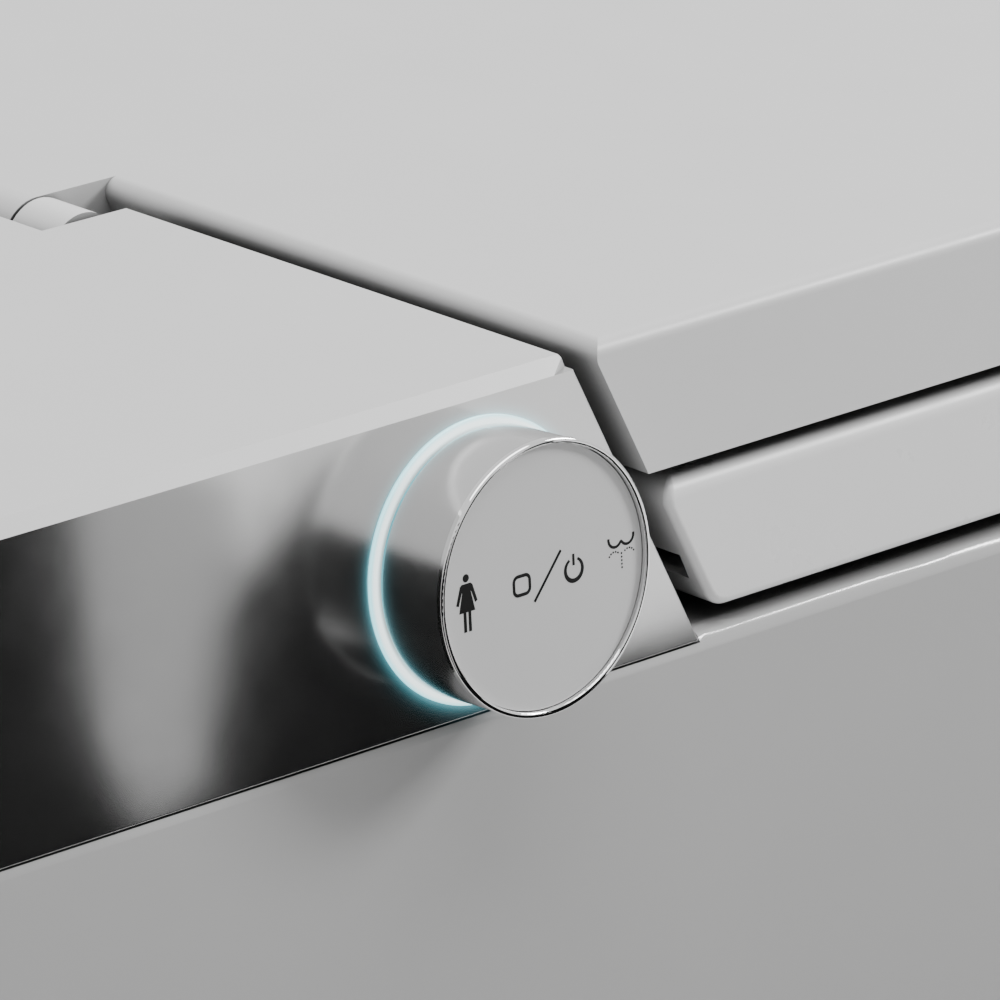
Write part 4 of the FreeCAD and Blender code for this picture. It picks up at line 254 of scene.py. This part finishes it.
def make_materials():
    """One finish for each of the record's material slots."""
    return {
        "vitreous_china": finish_of("vitreous_china", (grey(0.46), grey(0.49, 0.004)), (0.10, 0.18),
                                    1.6 * MM, 0.006 * MM, coat=0.6, coat_roughness=0.06, blotch=70 * MM,
                                    wave=(26 * MM, 0.10 * MM), gap_shade=PAINTED_GAP_SHADE),
        "cap_plastic": finish_of("cap_plastic", (grey(0.46), grey(0.49)), (0.18, 0.28), 0.5 * MM,
                                 0.008 * MM),
        "cover_plastic": finish_of("cover_plastic", (grey(0.63), grey(0.66)), (0.30, 0.40), 0.35 * MM,
                                   0.010 * MM, wave=(60 * MM, 0.05 * MM), gap_shade=PAINTED_GAP_SHADE),
        "gloss_panel": finish_of("gloss_panel", **PANEL_FINISH),
        # the panel's finish with the ring's glow painted into it as emission
        "panel_with_painted_glow": add_painted_ring_glow(finish_of("panel_with_painted_glow", **PANEL_FINISH), PAINTED_GLOW_COLOUR),
        "lid_plastic": finish_of("lid_plastic", (grey(0.64), grey(0.67)), (0.30, 0.40), 0.35 * MM,
                                 0.010 * MM, wave=(70 * MM, 0.06 * MM), gap_shade=PAINTED_GAP_SHADE),
        "seat_plastic": finish_of("seat_plastic", (grey(0.79), grey(0.82)), (0.26, 0.36), 0.30 * MM,
                                  0.008 * MM, wave=(50 * MM, 0.06 * MM), gap_shade=PAINTED_GAP_SHADE),
        "dark_plastic": finish_of("dark_plastic", (grey(0.045), grey(0.06)), (0.45, 0.6), 0.6 * MM,
                                  0.03 * MM),
        "black_plastic": finish_of("black_plastic", (grey(0.02), grey(0.032)), (0.4, 0.6), 0.6 * MM,
                                   0.03 * MM),
        "rubber": finish_of("rubber", (grey(0.30), grey(0.36, 0.01)), (0.6, 0.8), 0.5 * MM, 0.04 * MM),
        "screw_steel": finish_of("screw_steel", (grey(0.50), grey(0.58)), (0.25, 0.40), 0.2 * MM, 0.01 * MM,
                                 metallic=1.0),
        "bracket_steel": finish_of("bracket_steel", (grey(0.44), grey(0.54, 0.02)), (0.35, 0.55), 1.5 * MM,
                                   0.03 * MM, metallic=1.0, blotch=12 * MM),
        "heater_foil": finish_of("heater_foil", (grey(0.6), grey(0.7)), (0.25, 0.5), 3.0 * MM, 0.2 * MM,
                                 metallic=1.0, blotch=8 * MM),
        "knob_metal": finish_of("knob_metal", (grey(0.66), grey(0.70)), (0.16, 0.22), 0.08 * MM, 0.0015 * MM,
                                metallic=1.0, stretch=(0.02, 1.0, 1.0)),
        "chrome": finish_of("chrome", (grey(0.86), grey(0.90)), (0.03, 0.06), 0.5 * MM, 0.0005 * MM,
                            metallic=1.0),
        "knob_face": finish_of("knob_face", (grey(0.60), grey(0.63)), (0.34, 0.44), 0.12 * MM,
                               0.004 * MM),
        "ring_glow": glowing("ring_glow", (0.90, 1.0, 1.0), (0.28, 0.82, 0.92), 1.7),
        "circuit_board": finish_of("circuit_board", ((0.01, 0.10, 0.04), (0.02, 0.16, 0.07)), (0.2, 0.4),
                                   0.4 * MM, 0.02 * MM),
        "wand_steel": finish_of("wand_steel", (grey(0.60), grey(0.66)), (0.12, 0.24), 0.1 * MM, 0.004 * MM,
                                metallic=1.0, stretch=(1.0, 0.03, 0.03)),
        "wand_tip": finish_of("wand_tip", (grey(0.74), grey(0.78)), (0.16, 0.26), 0.3 * MM, 0.006 * MM),
        "gear_plastic": finish_of("gear_plastic", ((0.70, 0.69, 0.64), (0.76, 0.75, 0.70)), (0.4, 0.55),
                                  0.4 * MM, 0.02 * MM),
        "brass": finish_of("brass", ((0.62, 0.45, 0.20), (0.70, 0.52, 0.25)), (0.22, 0.4), 0.25 * MM,
                           0.01 * MM, metallic=1.0),
        "valve_plastic": finish_of("valve_plastic", ((0.60, 0.60, 0.57), (0.66, 0.66, 0.62)), (0.4, 0.55),
                                   0.5 * MM, 0.02 * MM),
        "hose_silicone": finish_of("hose_silicone", (grey(0.55), grey(0.62)), (0.3, 0.5), 0.8 * MM,
                                   0.02 * MM, coat=0.2),
        "float_foam": finish_of("float_foam", ((0.75, 0.18, 0.03), (0.85, 0.25, 0.05)), (0.6, 0.8), 0.5 * MM,
                                0.05 * MM),
        "printed_ink": finish_of("printed_ink", (grey(0.006), grey(0.010)), (0.45, 0.55), 0.1 * MM,
                                 0.004 * MM, specular=0.2),
    }


def dress(materials):
    """Gives every CAD node the finish of its slot."""
    for node, piece in NODES.items():
        piece.data.materials.clear()
        piece.data.materials.append(materials[SLOT_OF[node]])
    # the panel around the knob takes the finish with the ring's painted glow
    NODES["side_panel_knob"].data.materials[0] = materials["panel_with_painted_glow"]


# ------------------------------------------------------------- printed symbols
INK_HEIGHT = 0.04 * MM
INK_FOOT = 0.02 * MM                  # how deep the print lies in the face's lacquer
CURVE_STEPS = 24


def on_face(u, v, height):
    """The place on the knob's face u towards the front and v up from its middle, in millimetres."""
    level = KNOB_REACH - FACE_RECESS + height
    return KNOB_FOOT + KNOB_OUT * level + (KNOB_FRONT * u + KNOB_UP * v) * MM


def arc(u, v, radius, start, stop, steps=CURVE_STEPS):
    """Points on an arc about (u, v); angles in degrees from the front, turning up."""
    angles = [math.radians(start + (stop - start) * i / steps) for i in range(steps + 1)]
    return [(u + radius * math.cos(a), v + radius * math.sin(a)) for a in angles]


def ribbon(points, width, closed=False):
    """The two edges of a line of the given width: a mitred outline, with square ends if it is open."""
    count = len(points)
    left, right = [], []
    for i, (u, v) in enumerate(points):
        before = points[i - 1] if i or closed else points[i]
        after = points[(i + 1) % count] if i + 1 < count or closed else points[i]
        along = Vector((after[0] - before[0], after[1] - before[1])).normalized()
        half = (width(i / (count - 1)) if callable(width) else width) / 2
        left.append((u - along.y * half, v + along.x * half))
        right.append((u + along.y * half, v - along.x * half))
    return left, right


class Print:
    """Flat printed shapes on the knob's face, gathered into one thin closed mesh."""

    def __init__(self):
        self.mesh = bmesh.new()

    def _corner(self, point, height):
        return self.mesh.verts.new(on_face(*point, height))

    def slab(self, outline):
        """A filled shape."""
        top = [self._corner(p, INK_HEIGHT) for p in outline]
        foot = [self._corner(p, -INK_FOOT) for p in outline]
        self.mesh.faces.new(top)
        self.mesh.faces.new(foot[::-1])
        self._walls(top, foot, True)

    def _walls(self, top, foot, closed):
        count = len(top)
        for i in range(count if closed else count - 1):
            j = (i + 1) % count
            self.mesh.faces.new((top[i], foot[i], foot[j], top[j]))

    def line(self, points, width, closed=False):
        """A line of the given width through the points."""
        left, right = ribbon(points, width, closed)
        if not closed:
            self.slab(left + right[::-1])
            return
        tops = [[self._corner(p, INK_HEIGHT) for p in side] for side in (left, right)]
        feet = [[self._corner(p, -INK_FOOT) for p in side] for side in (left, right)]
        count = len(points)
        for i in range(count):
            j = (i + 1) % count
            self.mesh.faces.new((tops[0][i], tops[0][j], tops[1][j], tops[1][i]))
            self.mesh.faces.new((feet[0][i], feet[1][i], feet[1][j], feet[0][j]))
        self._walls(tops[0], feet[0], True)
        self._walls(tops[1], feet[1], True)

    def dot(self, u, v, radius):
        """A round spot."""
        self.slab(arc(u, v, radius, 0, 360, 16)[:-1])

    def piece(self, name, material):
        """The finished mesh object."""
        bmesh.ops.triangulate(self.mesh, faces=self.mesh.faces[:])
        bmesh.ops.recalc_face_normals(self.mesh, faces=self.mesh.faces[:])
        data = bpy.data.meshes.new(name)
        self.mesh.to_mesh(data)
        self.mesh.free()
        data.materials.append(material)
        made = bpy.data.objects.new(name, data)
        bpy.context.scene.collection.objects.link(made)
        return made


def figure_symbol():
    """A figure in a dress: a head, and one outline down the arm, the hem and the leg."""
    u, v = -21.7, -0.7
    made = Print()
    made.dot(u, v + 5.75, 0.88)
    half = [(0.0, 4.55), (1.25, 4.55), (1.75, 4.15), (3.0, 0.35), (2.3, 0.05), (1.35, 2.75), (1.2, 2.75),
            (2.25, -1.6), (1.08, -1.6), (1.08, -5.9), (0.28, -5.9), (0.28, -1.6)]
    outline = half + [(-a, b) for a, b in reversed(half[1:])]
    made.slab([(u + a, v + b) for a, b in outline])
    return made


def stop_symbol():
    """A square with rounded corners."""
    u, v, width, height, corner = -6.1, -0.25, 4.5, 4.1, 1.2
    points = []
    for side, (du, dv) in enumerate(((1, 1), (-1, 1), (-1, -1), (1, -1))):
        middle = (u + du * (width / 2 - corner), v + dv * (height / 2 - corner))
        points += arc(*middle, corner, 90 * side, 90 * side + 90, 6)
    made = Print()
    made.line(points, 0.74, closed=True)
    return made


def slash_symbol():
    """The stroke between stop and power."""
    made = Print()
    made.line([(-2.7, -4.7), (5.3, 4.7)], 0.64)
    return made


def power_symbol():
    """A ring, open at the top and heavier below, with an upright stroke in the opening."""
    u, v, radius = 8.8, -0.35, 2.45
    made = Print()
    made.line(arc(u, v, radius, 62, -242, 40), lambda t: 0.58 + 0.4 * math.sin(math.pi * t))
    made.line([(u, v + 0.9), (u, v + 3.4)], 0.64)
    return made


def wash_symbol():
    """A seated curve over a rising dotted spray."""
    u, v = 22.6, 0.7
    made = Print()
    lobe = arc(1.75, 2.75, 1.85, 215, 370, 20)
    right = [(0.0, 1.9)] + lobe
    left = [(-a, b) for a, b in reversed(right[1:])]
    made.line([(u + a, v + b) for a, b in left + right], 0.62)
    for step in range(5):
        made.dot(u, v - 0.8 - 0.78 * step, 0.23)
    for side in (-1, 1):
        for a, b in arc(2.05, -1.9, 1.8, 125, 35, 4):
            made.dot(u + side * a, v + b, 0.22)
    return made


SYMBOLS = {
    "symbol_figure": figure_symbol,
    "symbol_stop": stop_symbol,
    "symbol_slash": slash_symbol,
    "symbol_power": power_symbol,
    "symbol_wash": wash_symbol,
}


def print_symbols(materials):
    """Prints the generic symbols on the knob's face; they turn with the knob."""
    for name, draw in SYMBOLS.items():
        piece = draw().piece(name, materials["printed_ink"])
        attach(piece, "knob")


# ---------------------------------------------------------- stage, light, camera
def make_camera():
    """The photograph's viewpoint: the knob's face lies at its pixel."""
    data = bpy.data.cameras.new("camera")
    data.lens = LENS_MM
    data.sensor_width = SENSOR_MM
    data.clip_start = 0.01
    data.clip_end = 50.0
    camera = bpy.data.objects.new("camera", data)
    bpy.context.scene.collection.objects.link(camera)
    across = (KNOB_PIXEL[0] - FRAME_PX / 2) / FOCAL_PX
    down = (KNOB_PIXEL[1] - FRAME_PX / 2) / FOCAL_PX
    ray = (LOOK + RIGHT * across - UP * down).normalized()
    face = KNOB_FOOT + KNOB_OUT * KNOB_REACH
    axes = Matrix((RIGHT, UP, -LOOK)).transposed().to_4x4()
    camera.matrix_world = Matrix.Translation(face - ray * KNOB_DISTANCE) @ axes
    bpy.context.scene.camera = camera


FLOOR_HALF = 6.0
FLOOR_GAP = 0.5 * MM                  # the floor lies just under the foot


def make_floor():
    """A plain pale floor."""
    mesh = bmesh.new()
    bmesh.ops.create_grid(mesh, x_segments=8, y_segments=8, size=FLOOR_HALF)
    data = bpy.data.meshes.new("floor")
    mesh.to_mesh(data)
    mesh.free()
    floor = bpy.data.objects.new("floor", data)
    floor.location.z = -FLOOR_GAP
    bpy.context.scene.collection.objects.link(floor)
    material, nodes, links, shader = new_material("floor")
    where = place(nodes)
    links.new(two_tone(nodes, links, noise(nodes, links, where, 0.6), grey(0.72), grey(0.75)),
              shader.inputs["Base Color"])
    shader.inputs["Roughness"].default_value = 0.75
    data.materials.append(material)


WORLD_LIGHT = 0.15                    # strength of the surroundings as light


def make_world():
    """Soft white surroundings: white where the camera or a mirror sees them, quieter as light."""
    world = bpy.data.worlds.new("studio")
    bpy.context.scene.world = world
    world.use_nodes = True
    nodes, links = world.node_tree.nodes, world.node_tree.links
    background = nodes["Background"]
    background.inputs["Color"].default_value = (1.0, 1.0, 1.0, 1.0)
    path = nodes.new("ShaderNodeLightPath")
    seen = nodes.new("ShaderNodeMath")
    seen.operation = "MAXIMUM"
    links.new(path.outputs["Is Camera Ray"], seen.inputs[0])
    links.new(path.outputs["Is Transmission Ray"], seen.inputs[1])
    mirrored = nodes.new("ShaderNodeMath")
    mirrored.operation = "MAXIMUM"
    links.new(seen.outputs["Value"], mirrored.inputs[0])
    links.new(path.outputs["Is Glossy Ray"], mirrored.inputs[1])
    links.new(spread(nodes, links, mirrored.outputs["Value"], WORLD_LIGHT, 1.0, 0.0, 1.0),
              background.inputs["Strength"])


def softbox(name, at, aim, size, power):
    """A large soft lamp at a place, turned to a point."""
    data = bpy.data.lights.new(name, "AREA")
    data.shape = "RECTANGLE"
    data.size, data.size_y = size
    data.energy = power
    lamp = bpy.data.objects.new(name, data)
    lamp.location = at
    lamp.rotation_euler = (Vector(aim) - Vector(at)).to_track_quat("-Z", "Y").to_euler()
    bpy.context.scene.collection.objects.link(lamp)
    return lamp


KEY_DIRECTION = Vector((-0.391, -0.782, 0.484))  # from the knob to the main lamp
KEY_DISTANCE = 3.0
KEY_SIZE = 0.7
KEY_POWER = 84.0
OVERHEAD_POWER = 80.0


def make_lights():
    """The main lamp, whose shadow of the knob the photograph shows, and a broad one overhead."""
    aim = KNOB_FOOT
    softbox("key", aim + KEY_DIRECTION * KEY_DISTANCE, aim, (KEY_SIZE, KEY_SIZE), KEY_POWER)
    softbox("overhead", (0.0, 0.0, 2.6), (0.0, 0.0, 0.4), (2.4, 2.4), OVERHEAD_POWER)


# The black card is painted shadow: seen only in reflections, its outline paints the knob's dark shadow on
# the panel below and behind the knob.
FLAG_OUT = 66 * MM                    # the black card's plane, out from the panel
FLAG_CORNERS = (                      # forward and up from the knob's axis, in millimetres
    (44, 14), (14, 4), (-3, -8), (-16, -23), (-22, -46), (-24, -57), (-42, -64), (-52, -40), (-56, 25),
    (-200, 25), (-200, -75), (-400, -75), (-400, -260), (400, -260), (400, -57), (60, -57))
CARD_OUT = 67 * MM                    # the grey card's plane, just beyond the black one
CARD_CORNERS = ((-400, -80), (-400, 32), (-60, 32), (-10, 6), (0, -80))
CARD_GLOW = 0.50                      # glow of the grey card, a painted grey reflection on the panel behind the knob, against the white surroundings


def make_card(name, out, outline, material):
    """A flat card beside the knob, seen only as a reflection in the glossy panel, knob and bezel."""
    mesh = bmesh.new()
    corners = [KNOB_FOOT + KNOB_OUT * out + (KNOB_FRONT * u + KNOB_UP * v) * MM for u, v in outline]
    mesh.faces.new([mesh.verts.new(corner) for corner in corners])
    data = bpy.data.meshes.new(name)
    mesh.to_mesh(data)
    mesh.free()
    card = bpy.data.objects.new(name, data)
    bpy.context.scene.collection.objects.link(card)
    data.materials.append(material)
    card.visible_camera = False
    card.visible_diffuse = False
    card.visible_transmission = False
    card.visible_shadow = False


def make_cards():
    """The black card, whose reflection paints the knob's shadow on the panel, and the grey card, whose glow
    paints a grey reflection beside it.
    """
    black = finish_of("flag_cloth", (grey(0.004), grey(0.006)), (0.8, 0.9), 1.0 * MM, 0.05 * MM,
                      specular=0.1)
    make_card("flag", FLAG_OUT, FLAG_CORNERS, black)
    pale, nodes, links, shader = new_material("grey_card")
    shader.inputs["Base Color"].default_value = (0.0, 0.0, 0.0, 1.0)
    shader.inputs["Emission Color"].default_value = (1.0, 1.0, 1.0, 1.0)
    shader.inputs["Emission Strength"].default_value = CARD_GLOW
    make_card("grey_card", CARD_OUT, CARD_CORNERS, pale)


def main():
    """Dresses the model and sets it on its stage."""
    make_camera()
    materials = make_materials()
    dress(materials)
    print_symbols(materials)
    make_floor()
    make_world()
    make_lights()
    make_cards()


main()
